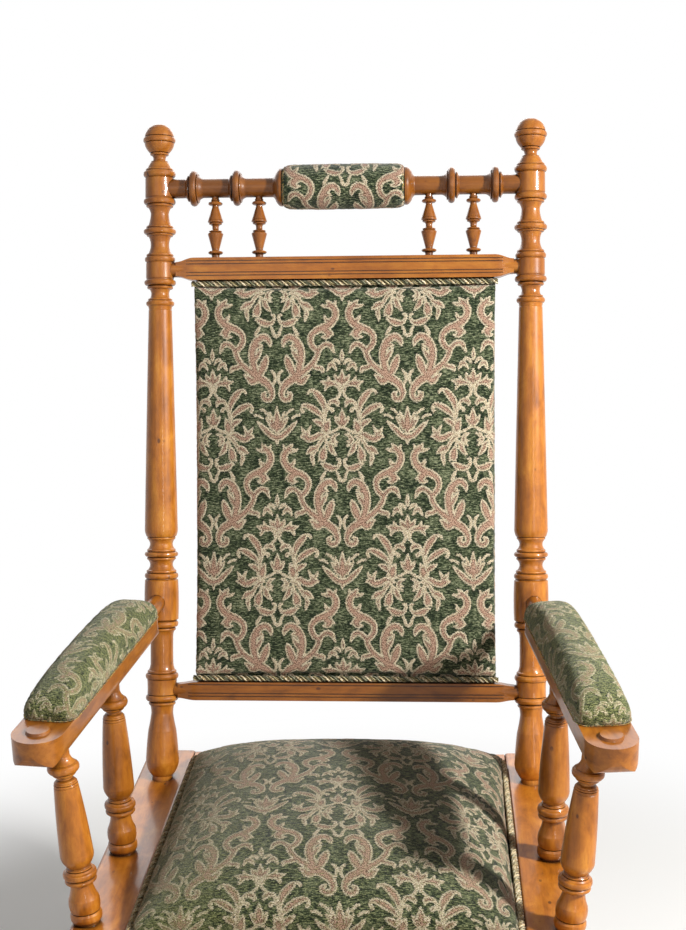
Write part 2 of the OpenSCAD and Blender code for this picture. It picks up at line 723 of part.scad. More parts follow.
// Arms: the body is where its section, its plan and its side view meet
function arc_points(centre, radius, from, to) = [
    for (i = [0:curve_steps])
        let (a = from + (to - from) * i / curve_steps)
        [centre[0] + radius * cos(a), centre[1] + radius * sin(a)]
];
module arm_body() {
    half_w = arm_w / 2;
    half_t = arm_t / 2;
    intersection() {
        translate([0, -arm_body_at + overrun, 0]) rotate([90, 0, 0])
            linear_extrude(arm_len - arm_body_at + overrun) polygon(concat(
                [[half_w, half_t], [-half_w, half_t]],
                arc_points([-half_w + arm_corner_r, -half_t + arm_corner_r], arm_corner_r, 180, 270),
                arc_points([half_w - arm_corner_r, -half_t + arm_corner_r], arm_corner_r, 270, 360)
            ));
        translate([0, 0, -arm_t]) linear_extrude(2 * arm_t) union() {
            translate([0, -arm_len + arm_tip_r]) circle(r = arm_tip_r, $fn = round_fn);
            translate([-half_w, -arm_len + arm_tip_r])
                square([arm_w, arm_len - arm_tip_r - arm_body_at - half_w]);
            translate([0, -arm_body_at - half_w]) circle(r = half_w, $fn = round_fn);
        }
        side_plate(-arm_w, 2 * arm_w) polygon(concat(
            [[-arm_body_at, half_t], [-arm_len, half_t]],
            arc_points([-arm_len + arm_front_round, -half_t + arm_front_round], arm_front_round, 180, 270),
            arc_points([-arm_body_at - arm_rear_round, -half_t + arm_rear_round], arm_rear_round, 270, 360)
        ));
    }
}
module arm(side) {
    color(wood) difference() {
        arm_plane(side) union() {
            arm_body();
            rod_forward(neck_stop, arm_body_at + arm_tip_r, arm_neck_r);
            translate([0, -arm_len + arm_tip_r, arm_t / 2 - overrun])
                cylinder(h = overrun + button_t, r1 = button_r + overrun, r2 = button_r, $fn = round_fn);
        }
        spindle_plane(side, 0) spindle_hole(0);
        spindle_plane(side, 1) spindle_hole(1);
    }
}
module arm_pad(side) {
    color(damask) arm_plane(side) translate([0, -pad_at - pad_len / 2, arm_t / 2])
        crowned_pad(pad_w / 2, pad_len / 2, [[0, 0, 0], [0, 0, pad_edge]], pad_crown, 0, 8, 20, 2.6, 0.6);
}

// Arm spindles: k is 0 for the rear one and 1 for the front one
spindle_ys = [rear_spindle_y, front_spindle_y];
spindle_xs = [rear_spindle_x, front_spindle_x];
spindle_leans = [rear_spindle_lean, front_spindle_lean];
function arm_under(k) =
    arm_h - (spindle_ys[k] + arm_neck_y - foot_y) * tan(arm_fall) - arm_t / 2 / cos(arm_fall);
function spindle_len(k) = arm_under(k) / cos(spindle_leans[k]);
module spindle_plane(side, k) {
    translate([side * spindle_xs[k], foot_y - spindle_ys[k], seat_h])
        rotate([0, side * spindle_leans[k], 0]) children();
}
module spindle_hole(k) {
    translate([0, 0, spindle_len(k) - overrun])
        cylinder(h = spindle_tenon + overrun + gap, r = spindle_neck_r + gap, $fn = round_fn);
}
module arm_spindle(side, k) {
    color(wood) spindle_plane(side, k) union() {
        turned(scaled(outline(arm_spindle_shares), spindle_len(k), arm_spindle_r));
        translate([0, 0, -spindle_foot_deep])
            cylinder(h = spindle_foot_deep + overrun, r = spindle_foot_r, $fn = round_fn);
        translate([0, 0, spindle_len(k) - overrun])
            cylinder(h = spindle_tenon + overrun, r = spindle_neck_r, $fn = round_fn);
    }
}

// Seat frame
module board_section(width) {
    polygon(concat(
        [[0, -board_t], [width, -board_t]],
        arc_points([width - edge_r, -edge_r], edge_r, 0, 90),
        arc_points([edge_r, -edge_r], edge_r, 90, 180)
    ));
}
module seat_board(side) {
    length = board_back + board_front;
    color(wood) difference() {
        sided(side) intersection() {
            translate([half_open, board_rear_y, seat_h]) rotate([90, 0, 0])
                linear_extrude(length) board_section(board_w);
            translate([half_open, board_front_y, 0]) linear_extrude(2 * seat_h) union() {
                square([board_w - board_corner_r, length]);
                translate([0, board_corner_r]) square([board_w, length - 2 * board_corner_r]);
                for (y = [board_corner_r, length - board_corner_r])
                    translate([board_w - board_corner_r, y]) circle(r = board_corner_r, $fn = round_fn);
            }
        }
        back_plane() translate([side * half_post, 0, -post_foot_deep - gap])
            cylinder(h = post_foot_deep + post_r, r = post_foot_r + gap, $fn = round_fn);
        for (k = [0, 1]) spindle_plane(side, k) translate([0, 0, -spindle_foot_deep - gap])
            cylinder(h = spindle_foot_deep + arm_spindle_r, r = spindle_foot_r + gap, $fn = round_fn);
        for (end = [-1, 1]) leg_place(side, end) translate([0, 0, board_under - overrun])
            cylinder(h = leg_tenon + overrun + gap, r = leg_tenon_r + gap, $fn = round_fn);
    }
}
module cross_rail(from_y, width) {
    translate([-half_open, from_y, seat_h]) rotate([90, 0, 90])
        linear_extrude(opening_w) board_section(width);
}
module seat_front_rail() {
    color(wood) cross_rail(board_front_y, front_rail_w);
}
module seat_rear_rail() {
    color(wood) cross_rail(open_rear_y, rear_rail_w);
}

// Seat upholstery, from the dust cover up
module seat_dust_cover() {
    lap = strap_lap / 2;
    color(linen) translate([-half_open - lap, open_front_y - lap, board_under - 2 * strap_t - cloth_t])
        cube([2 * (half_open + lap), 2 * (open_half_y + lap), cloth_t]);
}
module seat_webbing() {
    color(linen) translate([0, open_mid_y, board_under]) union() {
        for (share = cross_strap_shares)
            translate([-half_open - strap_lap, share * open_half_y - strap_w / 2, -strap_t])
                cube([opening_w + 2 * strap_lap, strap_w, strap_t]);
        for (share = long_strap_shares)
            translate([share * half_open - strap_w / 2, -open_half_y - strap_lap, -2 * strap_t])
                cube([strap_w, 2 * (open_half_y + strap_lap), strap_t]);
    }
}
seat_coil = coil_line(seat_spring_h - seat_wire_d, seat_spring_r - seat_wire_d / 2,
    seat_spring_waist - seat_wire_d / 2, seat_spring_curls);
echo("least gap of a seat spring to itself, mm", coil_gap(seat_coil, seat_wire_d));
module seat_springs() {
    color(iron) translate([0, open_mid_y, board_under + seat_wire_d / 2])
        for (share = seat_spring_shares)
            translate([share[0] * half_open, share[1] * open_half_y, 0]) coil(seat_coil, seat_wire_d);
}
piping_corner = 16;
piping_in = cushion_tuck - cord_r - gap;
seat_corner = piping_corner - cord_r - gap;
seat_steps = [
    [gap, gap, -cushion_sink], [gap, gap, 0],
    [cushion_tuck, cushion_tuck, 0, seat_corner], [cushion_tuck, cushion_tuck, cord_d, seat_corner]
];
module seat_cushion() {
    color(damask) difference() {
        translate([0, open_mid_y, seat_h])
            crowned_pad(half_open, open_half_y, seat_steps, seat_crown, cushion_draw, 16, 18, 2.5, 0.62);
        translate([-half_open + pocket_in, open_front_y + pocket_in, 0])
            cube([2 * (half_open - pocket_in), 2 * (open_half_y - pocket_in), pocket_top]);
    }
}
module seat_piping() {
    half_x = half_open - piping_in - piping_corner;
    half_y = open_half_y - piping_in - piping_corner;
    color(linen) translate([0, open_mid_y, seat_h + cord_r + gap]) union() {
        for (side = [-1, 1]) {
            translate([side * (half_x + piping_corner), half_y, 0]) rotate([90, 0, 0])
                cylinder(h = 2 * half_y, r = cord_r, $fn = round_fn);
            translate([0, side * (half_y + piping_corner), 0]) rod_across(-half_x, 2 * half_x, cord_r);
        }
        for (turn = [0:3])
            translate([turn == 0 || turn == 3 ? half_x : -half_x, turn < 2 ? half_y : -half_y, 0])
                rotate([0, 0, 90 * turn]) rotate_extrude(angle = 90, $fn = round_fn)
                    translate([piping_corner, 0]) circle(r = cord_r, $fn = round_fn);
    }
}

// Seat legs: end is 1 for the rear and -1 for the front
leg_top_of_rocker = rocker_cz - sqrt(pow(rocker_curve_r - rocker_d, 2) - pow(leg_off, 2));
module leg_place(side, end) {
    translate([side * rail_x, pivot_y + end * leg_off, 0]) children();
}
module seat_leg(side, end) {
    length = board_under - leg_top_of_rocker;
    color(wood) leg_place(side, end) translate([0, 0, leg_top_of_rocker]) union() {
        turned(scaled(outline(leg_shares), length, leg_r));
        translate([0, 0, -leg_foot_deep])
            cylinder(h = leg_foot_deep + overrun, r = leg_foot_r, $fn = round_fn);
        translate([0, 0, length - overrun])
            cylinder(h = leg_tenon + overrun, r = leg_tenon_r, $fn = round_fn);
    }
}

// Rockers
stretcher_z = rocker_cz - sqrt(pow(rocker_mid_r, 2) - pow(rocker_stretcher_off, 2));
module rocker(side) {
    reach = 2 * rocker_curve_r;
    color(wood) difference() {
        sided(side) translate([0, pivot_y, rocker_cz]) union() {
            intersection() {
                difference() {
                    rod_across_curve(rocker_curve_r, inner_face, rocker_t);
                    rod_across_curve(rocker_curve_r - rocker_d, inner_face - overrun, rocker_t + 2 * overrun);
                }
                side_plate(inner_face - overrun, rocker_t + 2 * overrun) polygon([
                    [0, 0], [-reach * sin(rocker_angle), -reach * cos(rocker_angle)],
                    [reach * sin(rocker_angle), -reach * cos(rocker_angle)]
                ]);
            }
            for (end = [-1, 1])
                translate([0, end * rocker_half, -rocker_mid_r * cos(rocker_angle)])
                    rod_across(inner_face, rocker_t, rocker_end_r);
        }
        for (end = [-1, 1]) {
            leg_place(side, end) translate([0, 0, leg_top_of_rocker - leg_foot_deep - gap])
                cylinder(h = leg_foot_deep + rocker_d, r = leg_foot_r + gap, $fn = round_fn);
            sided(side) translate([0, pivot_y + end * rocker_stretcher_off, stretcher_z])
                stretcher_hole();
        }
        sided(side) screw_holes(upper_screws);
    }
}
module rod_across_curve(radius, from, thick) {
    translate([from, 0, 0]) rotate([0, 90, 0]) cylinder(h = thick, r = radius, $fn = curve_fn);
}
module stretcher_hole() {
    rod_across(inner_face - overrun, stretcher_tenon + overrun + gap, stretcher_tenon_r + gap);
}
stretcher_half = inner_face;
stretcher_reach = stretcher_half + stretcher_tenon;
base_stretcher_z = foot_h + base_rail_h / 2;
module stretcher(y, z) {
    half = outline(stretcher_shares);
    points = concat(backwards(half), half);
    color(wood) translate([0, y, z]) union() {
        rotate([0, 90, 0]) turned(scaled(points, stretcher_half, stretcher_r));
        rod_across(-stretcher_reach, 2 * stretcher_reach, stretcher_tenon_r);
    }
}

// Iron fittings, drawn for the right side. They are measured inward from the inner
// face of the rail and rocker.
module inward(from, thick) {
    side_plate(inner_face - from - thick, thick) children();
}
module screw_holes(places) {
    for (p = places) translate([0, pivot_y + p[0], p[1]])
        rod_across(inner_face - iron_t - overrun, iron_t + screw_len + overrun + gap, screw_r + screw_gap);
}
module screws(places) {
    for (p = places) translate([0, pivot_y + p[0], p[1]]) union() {
        rod_across(inner_face - iron_t - overrun / 2, iron_t + screw_len, screw_r);
        translate([inner_face - iron_t, 0, 0]) rotate([0, -90, 0])
            cylinder(h = screw_head_t, r1 = screw_head_r, r2 = screw_head_r / 2, $fn = round_fn);
    }
}
module ledge(z) {
    for (end = [-1, 1])
        translate([inner_face - ledge_out, pivot_y + end * spring_off - ledge_half, z])
            cube([ledge_out, 2 * ledge_half, iron_t]);
}
module eye_shape(up, height) {
    circle(r = eye_r, $fn = round_fn);
    translate([-eye_r, up > 0 ? 0 : -height]) square([2 * eye_r, height]);
}
module pin_hole() {
    translate([0, pivot_y, pivot_z])
        rod_across(inner_face - ears_out - overrun, ears_out + overrun, pin_r + pin_gap);
}
module rocker_bracket(side) {
    color(iron) sided(side) difference() {
        union() {
            inward(0, iron_t) translate([pivot_y - plate_half, upper_ledge_z])
                square([2 * plate_half, upper_plate_top - upper_ledge_z]);
            ledge(upper_ledge_z);
            inward(0, eye_d + eye_t) translate([pivot_y - eye_r, upper_ledge_z])
                square([2 * eye_r, upper_block_h]);
            inward(eye_d, eye_t) translate([pivot_y, pivot_z])
                eye_shape(1, upper_ledge_z + upper_block_h - pivot_z);
        }
        pin_hole();
        screw_holes(upper_screws);
    }
}
module base_bracket(side) {
    color(iron) sided(side) difference() {
        union() {
            inward(0, iron_t) translate([pivot_y - plate_half, lower_plate_z])
                square([2 * plate_half, lower_plate_top - lower_plate_z]);
            ledge(lower_ledge_z - iron_t);
            inward(0, ears_out) translate([pivot_y - eye_r, lower_block_z])
                square([2 * eye_r, lower_block_h]);
            for (d = [ear_d, inner_ear_d])
                inward(d, eye_t) translate([pivot_y, pivot_z]) eye_shape(-1, pivot_z - lower_block_z);
        }
        pin_hole();
        screw_holes(lower_screws);
    }
}
module pivot_pin(side) {
    color(iron) sided(side) translate([inner_face - ears_out, pivot_y, pivot_z]) union() {
        rod_across(-gap, ears_out - gap, pin_r);
        rod_across(-gap - pin_head_t, pin_head_t, pin_head_r);
    }
}
module rocker_bracket_screws() {
    color(iron) for (side = [-1, 1]) sided(side) screws(upper_screws);
}
module base_bracket_screws() {
    color(iron) for (side = [-1, 1]) sided(side) screws(lower_screws);
}
rocker_coil = coil_line(spring_h - wire_d, spring_r - wire_d / 2, spring_r - wire_d / 2, spring_curls);
echo("least gap of a rocker spring to itself, mm", coil_gap(rocker_coil, wire_d));
module rocker_spring(side, end) {
    color(iron) sided(side)
        translate([inner_face - spring_d, pivot_y + end * spring_off, lower_ledge_z + gap + wire_d / 2])
            coil(rocker_coil, wire_d);
}

// Base
module base_rail(side) {
    color(wood) difference() {
        sided(side) translate([0, pivot_y, foot_h + base_rail_h / 2])
            side_plate(inner_face, rocker_t) union() {
                straight = base_len - base_rail_h;
                translate([-straight / 2, -base_rail_h / 2]) square([straight, base_rail_h]);
                for (end = [-1, 1]) translate([end * straight / 2, 0])
                    circle(r = base_rail_h / 2, $fn = round_fn);
            }
        for (end = [-1, 1]) {
            foot_place(side, end) translate([0, 0, foot_h - overrun])
                cylinder(h = foot_tenon + overrun + gap, r = foot_tenon_r + gap, $fn = round_fn);
            sided(side) translate([0, pivot_y + end * base_stretcher_off, base_stretcher_z])
                stretcher_hole();
        }
        sided(side) screw_holes(lower_screws);
    }
}
module foot_place(side, end) {
    translate([side * rail_x, pivot_y + end * foot_off, 0]) children();
}
module base_foot(side, end) {
    color(wood) foot_place(side, end) union() {
        turned(scaled(outline(foot_shares), foot_h, foot_r));
        translate([0, 0, foot_h - overrun])
            cylinder(h = foot_tenon + overrun, r = foot_tenon_r, $fn = round_fn);
    }
}

back_post(-1);  // back_post_left
back_post(1);  // back_post_right
crest_rail();
headrest_roll();
gallery_spindle(0);  // gallery_spindle_1
gallery_spindle(1);  // gallery_spindle_2
gallery_spindle(2);  // gallery_spindle_3
gallery_spindle(3);  // gallery_spindle_4
back_upper_rail();
back_lower_rail();
back_cushion();
back_piping_top();
back_piping_bottom();
back_webbing();
back_lining();
arm(-1);  // arm_left
arm(1);  // arm_right
arm_pad(-1);  // arm_pad_left
arm_pad(1);  // arm_pad_right
arm_spindle(-1, 0);  // arm_spindle_rear_left
arm_spindle(1, 0);  // arm_spindle_rear_right
arm_spindle(-1, 1);  // arm_spindle_front_left
arm_spindle(1, 1);  // arm_spindle_front_right
seat_board(-1);  // seat_board_left
seat_board(1);  // seat_board_right
seat_front_rail();
seat_rear_rail();
seat_webbing();
seat_springs();
seat_cushion();
seat_piping();
seat_dust_cover();
seat_leg(-1, -1);  // seat_leg_front_left
seat_leg(1, -1);  // seat_leg_front_right
seat_leg(-1, 1);  // seat_leg_rear_left
seat_leg(1, 1);  // seat_leg_rear_right
rocker(-1);  // rocker_left
rocker(1);  // rocker_right
stretcher(pivot_y - rocker_stretcher_off, stretcher_z);  // rocker_stretcher_front
stretcher(pivot_y + rocker_stretcher_off, stretcher_z);  // rocker_stretcher_rear
rocker_bracket(-1);  // rocker_bracket_left
rocker_bracket(1);  // rocker_bracket_right
rocker_bracket_screws();
base_rail(-1);  // base_rail_left
base_rail(1);  // base_rail_right
stretcher(pivot_y - base_stretcher_off, base_stretcher_z);  // base_stretcher_front
stretcher(pivot_y + base_stretcher_off, base_stretcher_z);  // base_stretcher_rear
base_foot(-1, -1);  // base_foot_front_left
base_foot(1, -1);  // base_foot_front_right
base_foot(-1, 1);  // base_foot_rear_left
base_foot(1, 1);  // base_foot_rear_right
base_bracket(-1);  // base_bracket_left
base_bracket(1);  // base_bracket_right
base_bracket_screws();
pivot_pin(-1);  // pivot_pin_left
pivot_pin(1);  // pivot_pin_right
rocker_spring(-1, -1);  // rocker_spring_front_left
rocker_spring(1, -1);  // rocker_spring_front_right
rocker_spring(-1, 1);  // rocker_spring_rear_left
rocker_spring(1, 1);  // rocker_spring_rear_right
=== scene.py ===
"""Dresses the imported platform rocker: turned wood, damask cushions, twisted cords, iron and springs."""
import math

import bpy
import numpy as np
from mathutils import Matrix, Vector


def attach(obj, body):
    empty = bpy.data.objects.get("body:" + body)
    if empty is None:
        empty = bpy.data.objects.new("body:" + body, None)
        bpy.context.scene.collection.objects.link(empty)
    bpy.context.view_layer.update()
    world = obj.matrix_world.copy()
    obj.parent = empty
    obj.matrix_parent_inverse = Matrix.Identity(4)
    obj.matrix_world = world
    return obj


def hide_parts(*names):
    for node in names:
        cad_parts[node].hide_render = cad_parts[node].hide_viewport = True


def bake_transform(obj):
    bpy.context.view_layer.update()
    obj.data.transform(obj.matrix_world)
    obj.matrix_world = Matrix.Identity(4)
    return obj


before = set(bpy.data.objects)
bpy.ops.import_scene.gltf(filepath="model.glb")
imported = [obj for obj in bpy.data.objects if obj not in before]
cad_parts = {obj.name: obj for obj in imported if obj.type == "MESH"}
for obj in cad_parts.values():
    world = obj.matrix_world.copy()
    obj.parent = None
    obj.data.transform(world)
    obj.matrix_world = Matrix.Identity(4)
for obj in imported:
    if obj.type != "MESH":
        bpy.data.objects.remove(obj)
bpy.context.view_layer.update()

# Sizes repeated from part.scad, in millimetres and degrees
FOOT_Y = 132.816
SEAT_H = 375
RAKE = 12.2
HALF_POST = 225
ARM_H = 217
ARM_SPLAY = 7.2
ARM_FALL = 3.4
ARM_T = 30
PAD_AT = 93
PAD_LEN = 290
PAD_W = 55
PAD_EDGE = 8
PAD_CROWN = 27
PAD_CORNER = 14
CREST_AT = 720.5
ROLL_LEN = 148
ROLL_R = 27
ROLL_CORE_R = 10.3
PANEL_W = 365
PANEL_LO = 119.3
PANEL_HI = 608.2
PANEL_BACK = 9.7
PANEL_EDGE = 15
PANEL_LEDGE = 9
PANEL_CROWN = 12
CORD_R = 4.25
GAP = 0.3
HALF_OPEN = 196
OPEN_MID_Y = FOOT_Y - 162.5
OPEN_HALF_Y = 222.5
SEAT_CROWN = 62
SEAT_TUCK = 5.25
BOARD_T = 26
SEAT_UNDER = SEAT_H - BOARD_T
STRAP_W = 50
STRAP_T = 1.5
BACK_FACE = 10
BACK_LAP = 12
BACK_LEN = PANEL_HI - PANEL_LO + 2 * BACK_LAP
PIVOT_Y = FOOT_Y - 150
SPRING_X = 194.5
SPRING_OFF = 45
SPRING_R = 12
SPRING_H = 60
SPRING_FOOT_Z = 57.8
WIRE_D = 3.4

NECK_Y = FOOT_Y + ARM_H * math.tan(math.radians(RAKE))


def turn(axis, degrees):
    return Matrix.Rotation(math.radians(degrees), 4, axis)


def shift(x, y, z):
    return Matrix.Translation((x, y, z))


BACK_PLANE = shift(0, FOOT_Y, SEAT_H) @ turn("X", -RAKE)
BACK_RIGHT, BEHIND, BACK_UP = np.array(BACK_PLANE)[:3, :3].T
SEAT_PLANE = shift(0, OPEN_MID_Y, SEAT_H)


def arm_plane(side):
    neck = shift(side * HALF_POST, NECK_Y, SEAT_H + ARM_H)
    return neck @ turn("Z", side * ARM_SPLAY) @ turn("X", ARM_FALL)


# The damask's figure. Half of its width, and the drop from one row of bouquets to the next
HALF = 78.4
DROP = 174.0
# Brush strokes on the right of the bouquet's middle line: across, up, half width
STROKES = [
    [(0, 97.8, .3), (0, 92, 1.9), (0, 88, 1.9), (0, 84.2, .4)],
    [(2.5, 80.5, .4), (5.2, 84.2, 1.6), (8.5, 85.6, 1.6), (11.2, 84.2, .5)],
    [(6.2, 73.7, .5), (10.2, 79.2, 2.2), (13.9, 79.9, 2.4), (17.6, 73, .5)],
    [(0, 53, .9), (0, 58, 2.6), (0, 64, 3.2), (0, 69, 1.8), (0, 73.6, .3)],
    [(.5, 58, 1.8), (4.2, 61, 3), (7.2, 64.2, 2), (8.9, 68.3, .3)],
    [(2.5, 47.7, 1.2), (4.6, 54.5, 1.6), (9.5, 57, 2.4), (15.1, 57.6, 3.4), (20, 58.2, 2.4),
     (25.3, 59.8, .4)],
    [(13.5, 58, 2.2), (15.5, 62, 1.5), (16.6, 65.3, .3)],
    [(17, 56, 2.4), (19.3, 52.5, 1.6), (20.6, 49, .4)],
    [(1.2, 53, 1), (1.7, 47.7, 1.1), (3.3, 43, 1.1), (8.7, 37.8, 1.1), (15.3, 33.4, 1.2),
     (18.6, 25.4, 1.4), (20.3, 18, 1.5), (21.3, 11.8, 1.4), (19, 4, 1.2)],
    [(15.3, 31.6, 1), (13.9, 35.4, 1.8), (8.9, 36, 2.6), (5.8, 34.2, 2.4), (4.6, 30.3, .8)],
    [(18.2, 25.4, .8), (14.5, 27.2, 1.1), (11.4, 25.4, 1.9), (12, 23.5, .8)],
    [(20.7, 21.7, .8), (21.9, 31.6, 3), (25.6, 39, 4), (30.6, 45.2, 3.4), (34.9, 48.9, 1.7),
     (39.2, 48.3, 1.2), (40.9, 45.2, .8)],
    [(22.5, 15.5, .9), (26.2, 20.4, 2.6), (33, 26, 3.6), (39.9, 29.7, 3.2), (46, 31, 1.8),
     (48.5, 26.6, 1.3), (46.7, 23.4, 1.4)],
    [(22.3, 3.1, .9), (24.4, 8, 2.6), (28.7, 11.1, 3), (34.3, 13.6, .8)],
    [(18.2, -1.2, 1.4), (18.8, 3.7, 4.4), (17.6, 8, 3.4), (15.1, 14.9, .5)],
    [(18.5, 5, 3), (21.3, 12.4, .8)],
    [(.5, 5.8, .9), (6.4, 2.1, 1), (12.6, -1, 1.2), (18.8, -2.1, 1.2), (24.4, 1.9, .9)],
    [(0, 4.6, .8), (0, 11, 3.4), (0, 16.5, 3.8), (0, 22, 1.8), (0, 26.6, .3)],
    [(2, 9, 3), (5.6, 13, 2.2), (8.2, 17.8, .4)],
    # The bouquet's lower half
    [(15.7, -7, .9), (21.3, -5, 1.5), (26.9, -4.3, 2.8), (33, -8, 3.6), (39.9, -9.3, 3.6),
     (45.4, -6.2, 2.8), (49.8, -6.8, .6)],
    [(41.7, -6.8, 2.6), (41.1, -1.2, 1.8), (37.6, 6.2, .4)],
    [(42.3, -4.3, 2), (46, -.6, 1.9), (48.5, 4.3, .4)],
    [(17, -7, 1.1), (22.5, -8.7, 2), (26.9, -14.2, 1.9), (30, -19.2, 2.2), (36.1, -21.7, 3.3),
     (39.9, -24.8, 2.3), (43.1, -26.9, .4)],
    [(30.6, -22.3, 1.6), (34.9, -27.2, 1.5), (36.1, -31.6, 2.3), (34.9, -36.5, 1.7), (34.3, -41.2, .4)],
    [(19, -11.1, .8), (20.7, -18.6, 1.2), (22.5, -24.8, 3.6), (23.4, -30.3, 4.6), (22.4, -34.2, 2)],
    [(23.4, -30.3, 3), (27.9, -35.4, .6)],
    [(17.3, -13, .8), (14.5, -17.3, 2.6), (13.2, -21.7, 3), (10.1, -26, 2), (7, -29.1, .5)],
    [(3.7, -3.3, .5), (8.3, -5, 1.7), (11.4, -9.9, 2.2), (10.2, -13.6, 1.9), (6.1, -17.9, .4)],
    [(9.5, -11, 1.5), (5.4, -12.5, .4)],
    [(5.4, -33.6, 1), (3.1, -34.4, 1.2), (2.9, -38.4, 1.3), (5.8, -43.3, 2), (11.4, -44.6, 3.3),
     (17.6, -42.7, 3.7), (22.5, -39.6, 1.8), (25.6, -39.2, .4)],
    [(6.2, -49.1, 1), (4, -53.9, 1.2), (3.3, -57.8, 1.3), (0, -60, 1.4)],
    [(20.3, -48.9, .8), (22.5, -52.6, 1.5), (24.4, -55.7, 1.4), (25.6, -58.8, .5)],
    # Curled leaf, small leaf, volute and tendril
    [(7.7, -71.7, .8), (8.9, -66, 3), (13.1, -61.4, 3.9), (18.6, -61.4, 4.1), (24.5, -66.4, 4.4),
     (28.6, -75.3, 4.5), (29.4, -86, 4.4), (27.3, -97, 4.2), (24.2, -107, 4.2)],
    [(24.8, -72, 3.5), (19.9, -70.8, 1.8), (17, -71.6, .5)],
    [(26.5, -88, 3.4), (21.6, -81, 2.6), (17.8, -74.6, .7)],
    [(11.6, -83.4, 1), (13.4, -89, 3.8), (16.2, -96.5, 4.8), (19.4, -103.6, 3.8), (23, -108.8, 3)],
    [(27, -106.4, 4.4), (23.6, -109, 5), (17.9, -112.2, 5), (11.6, -116.7, 4.6), (7, -123.3, 3.8),
     (5.7, -130.2, 3.1), (9, -135.6, 3), (14.6, -134.9, 3), (16.3, -130, 2.5), (13.2, -127.4, 1)],
    [(3.6, -117, .9), (2, -111.3, 1.1), (3, -105.3, 1.3), (6.5, -101.1, .7)],
    # The long scroll
    [(23.9, -108.9, 5), (29.9, -104.1, 4.2), (37, -98.7, 3.7), (43.2, -92.7, 3.3), (48, -84.9, 3.1),
     (50, -77.7, 3)],
    [(25, -111.5, 4.2), (30, -114.2, 4), (35, -109.6, 2.6), (39.4, -106.6, .6)],
    [(42.5, -94.5, 2.8), (48.6, -97.6, 2.6), (54, -98.8, 2.5), (55.6, -102.6, 1.2)],
    [(50, -77.7, 3), (53.4, -73, 2.7), (59, -69.4, 2.9), (64.6, -71, 3), (67.8, -77, 1.4),
     (69.4, -80, .5)],
    [(50, -77.7, 3), (44.2, -73, 3.3), (40.8, -65.8, 3.3), (42, -58, 3.5), (49, -52, 4.1),
     (58, -48.4, 4.6), (65, -43.6, 4.5), (70, -35.8, 4.1), (69.6, -27.4, 4), (64, -20.6, 3),
     (60, -15.8, .7)],
    [(67.6, -23.8, 2.5), (70.8, -16.8, .6)],
    [(63, -23, 2.6), (57.8, -23, 1.8), (53.4, -21.6, .6)],
    [(64.6, -42, 2.6), (59.4, -39.4, 2), (57, -34, .5)],
    [(57, -51, 4), (62.2, -55.8, 4.4), (60, -60.4, 2.6), (54.8, -60.4, .8)],
    [(62, -54, 3.4), (68.4, -57.6, .6)],
    # Palmette on the next middle line
    [(78.4, -1.2, 2), (78.4, 5.6, 4.4), (78.4, 13, 4.2), (78.4, 20.4, 2.5), (78.4, 29, .4)],
    [(74.7, 4.3, 3.4), (72.2, 13, 2.3), (69.7, 22.9, .4)],
    [(72.2, 5.6, 2.2), (67.9, 13, 1.9), (65.4, 16.7, .6)],
    [(78.4, -7.4, 3.5), (72.2, -5.6, 3.3), (64.8, 1.2, 3.1), (59.2, 6.8, 2.2), (54.3, 11.8, .5)],
    [(78.4, -9.9, 2.4), (78.4, -15.7, .4)],
    [(67.3, 19.8, .7), (62.9, 24.8, .9), (59.2, 26, .9)],
    [(60.5, 15.5, .7), (56.1, 18.6, .9), (51.2, 19.2, .9)],
]
# The least half width of a stroke, and what is then added to it
THINNEST = 0.25
FULLER = 0.6
# How far apart the field's places are, and how far from a stroke it is worked out
STEP = 0.5
FIELD_REACH = 9


def flowing(points, steps=6):
    """A smooth run of points through the given ones."""
    p = np.array(points, float)
    p = np.vstack([2 * p[0] - p[1], p, 2 * p[-1] - p[-2]])
    t = np.linspace(0, 1, steps, endpoint=False)[:, None]
    out = []
    for a, b, c, d in zip(p, p[1:], p[2:], p[3:]):
        bend = (2 * a - 5 * b + 4 * c - d) * t * t + (3 * b - a - 3 * c + d) * t ** 3
        out.append(.5 * (2 * b + (c - a) * t + bend))
    return np.vstack(out + [p[-2]])


def stroke_copies(points):
    """A stroke as it comes back in the repeat: mirrored, beside itself and in the rows next to it."""
    far = FIELD_REACH
    for row in (-1, 0, 1):
        for mirror in (1, -1):
            for column in (-2, 0, 2):
                q = points.copy()
                q[:, 0] = mirror * q[:, 0] + HALF * (column + row % 2)
                q[:, 1] += DROP * row
                near = q[:, 0].max() > -far and q[:, 0].min() < HALF + far
                if near and q[:, 1].max() > -far and q[:, 1].min() < DROP + far:
                    yield q


def figure_field():
    """How far each place of half a repeat lies outside the figure, in millimetres."""
    across = np.arange(0, HALF + STEP / 2, STEP)
    up = np.arange(0, DROP, STEP)
    field = np.full((len(up), len(across)), 1e3)
    far = FIELD_REACH
    for stroke in STROKES:
        line = flowing(stroke)
        line[:, 2] = np.maximum(line[:, 2], THINNEST) + FULLER
        for q in stroke_copies(line):
            for (x0, y0, r0), (x1, y1, r1) in zip(q, q[1:]):
                i0, i1 = np.searchsorted(across, [min(x0, x1) - far, max(x0, x1) + far])
                j0, j1 = np.searchsorted(up, [min(y0, y1) - far, max(y0, y1) + far])
                dx, dy = x1 - x0, y1 - y0
                ox, oy = across[i0:i1] - x0, (up[j0:j1] - y0)[:, None]
                t = np.clip((ox * dx + oy * dy) / (dx * dx + dy * dy + 1e-9), 0, 1)
                out = np.hypot(ox - t * dx, oy - t * dy) - r0 - (r1 - r0) * t
                field[j0:j1, i0:i1] = np.minimum(field[j0:j1, i0:i1], out)
    return field


FIELD = figure_field()


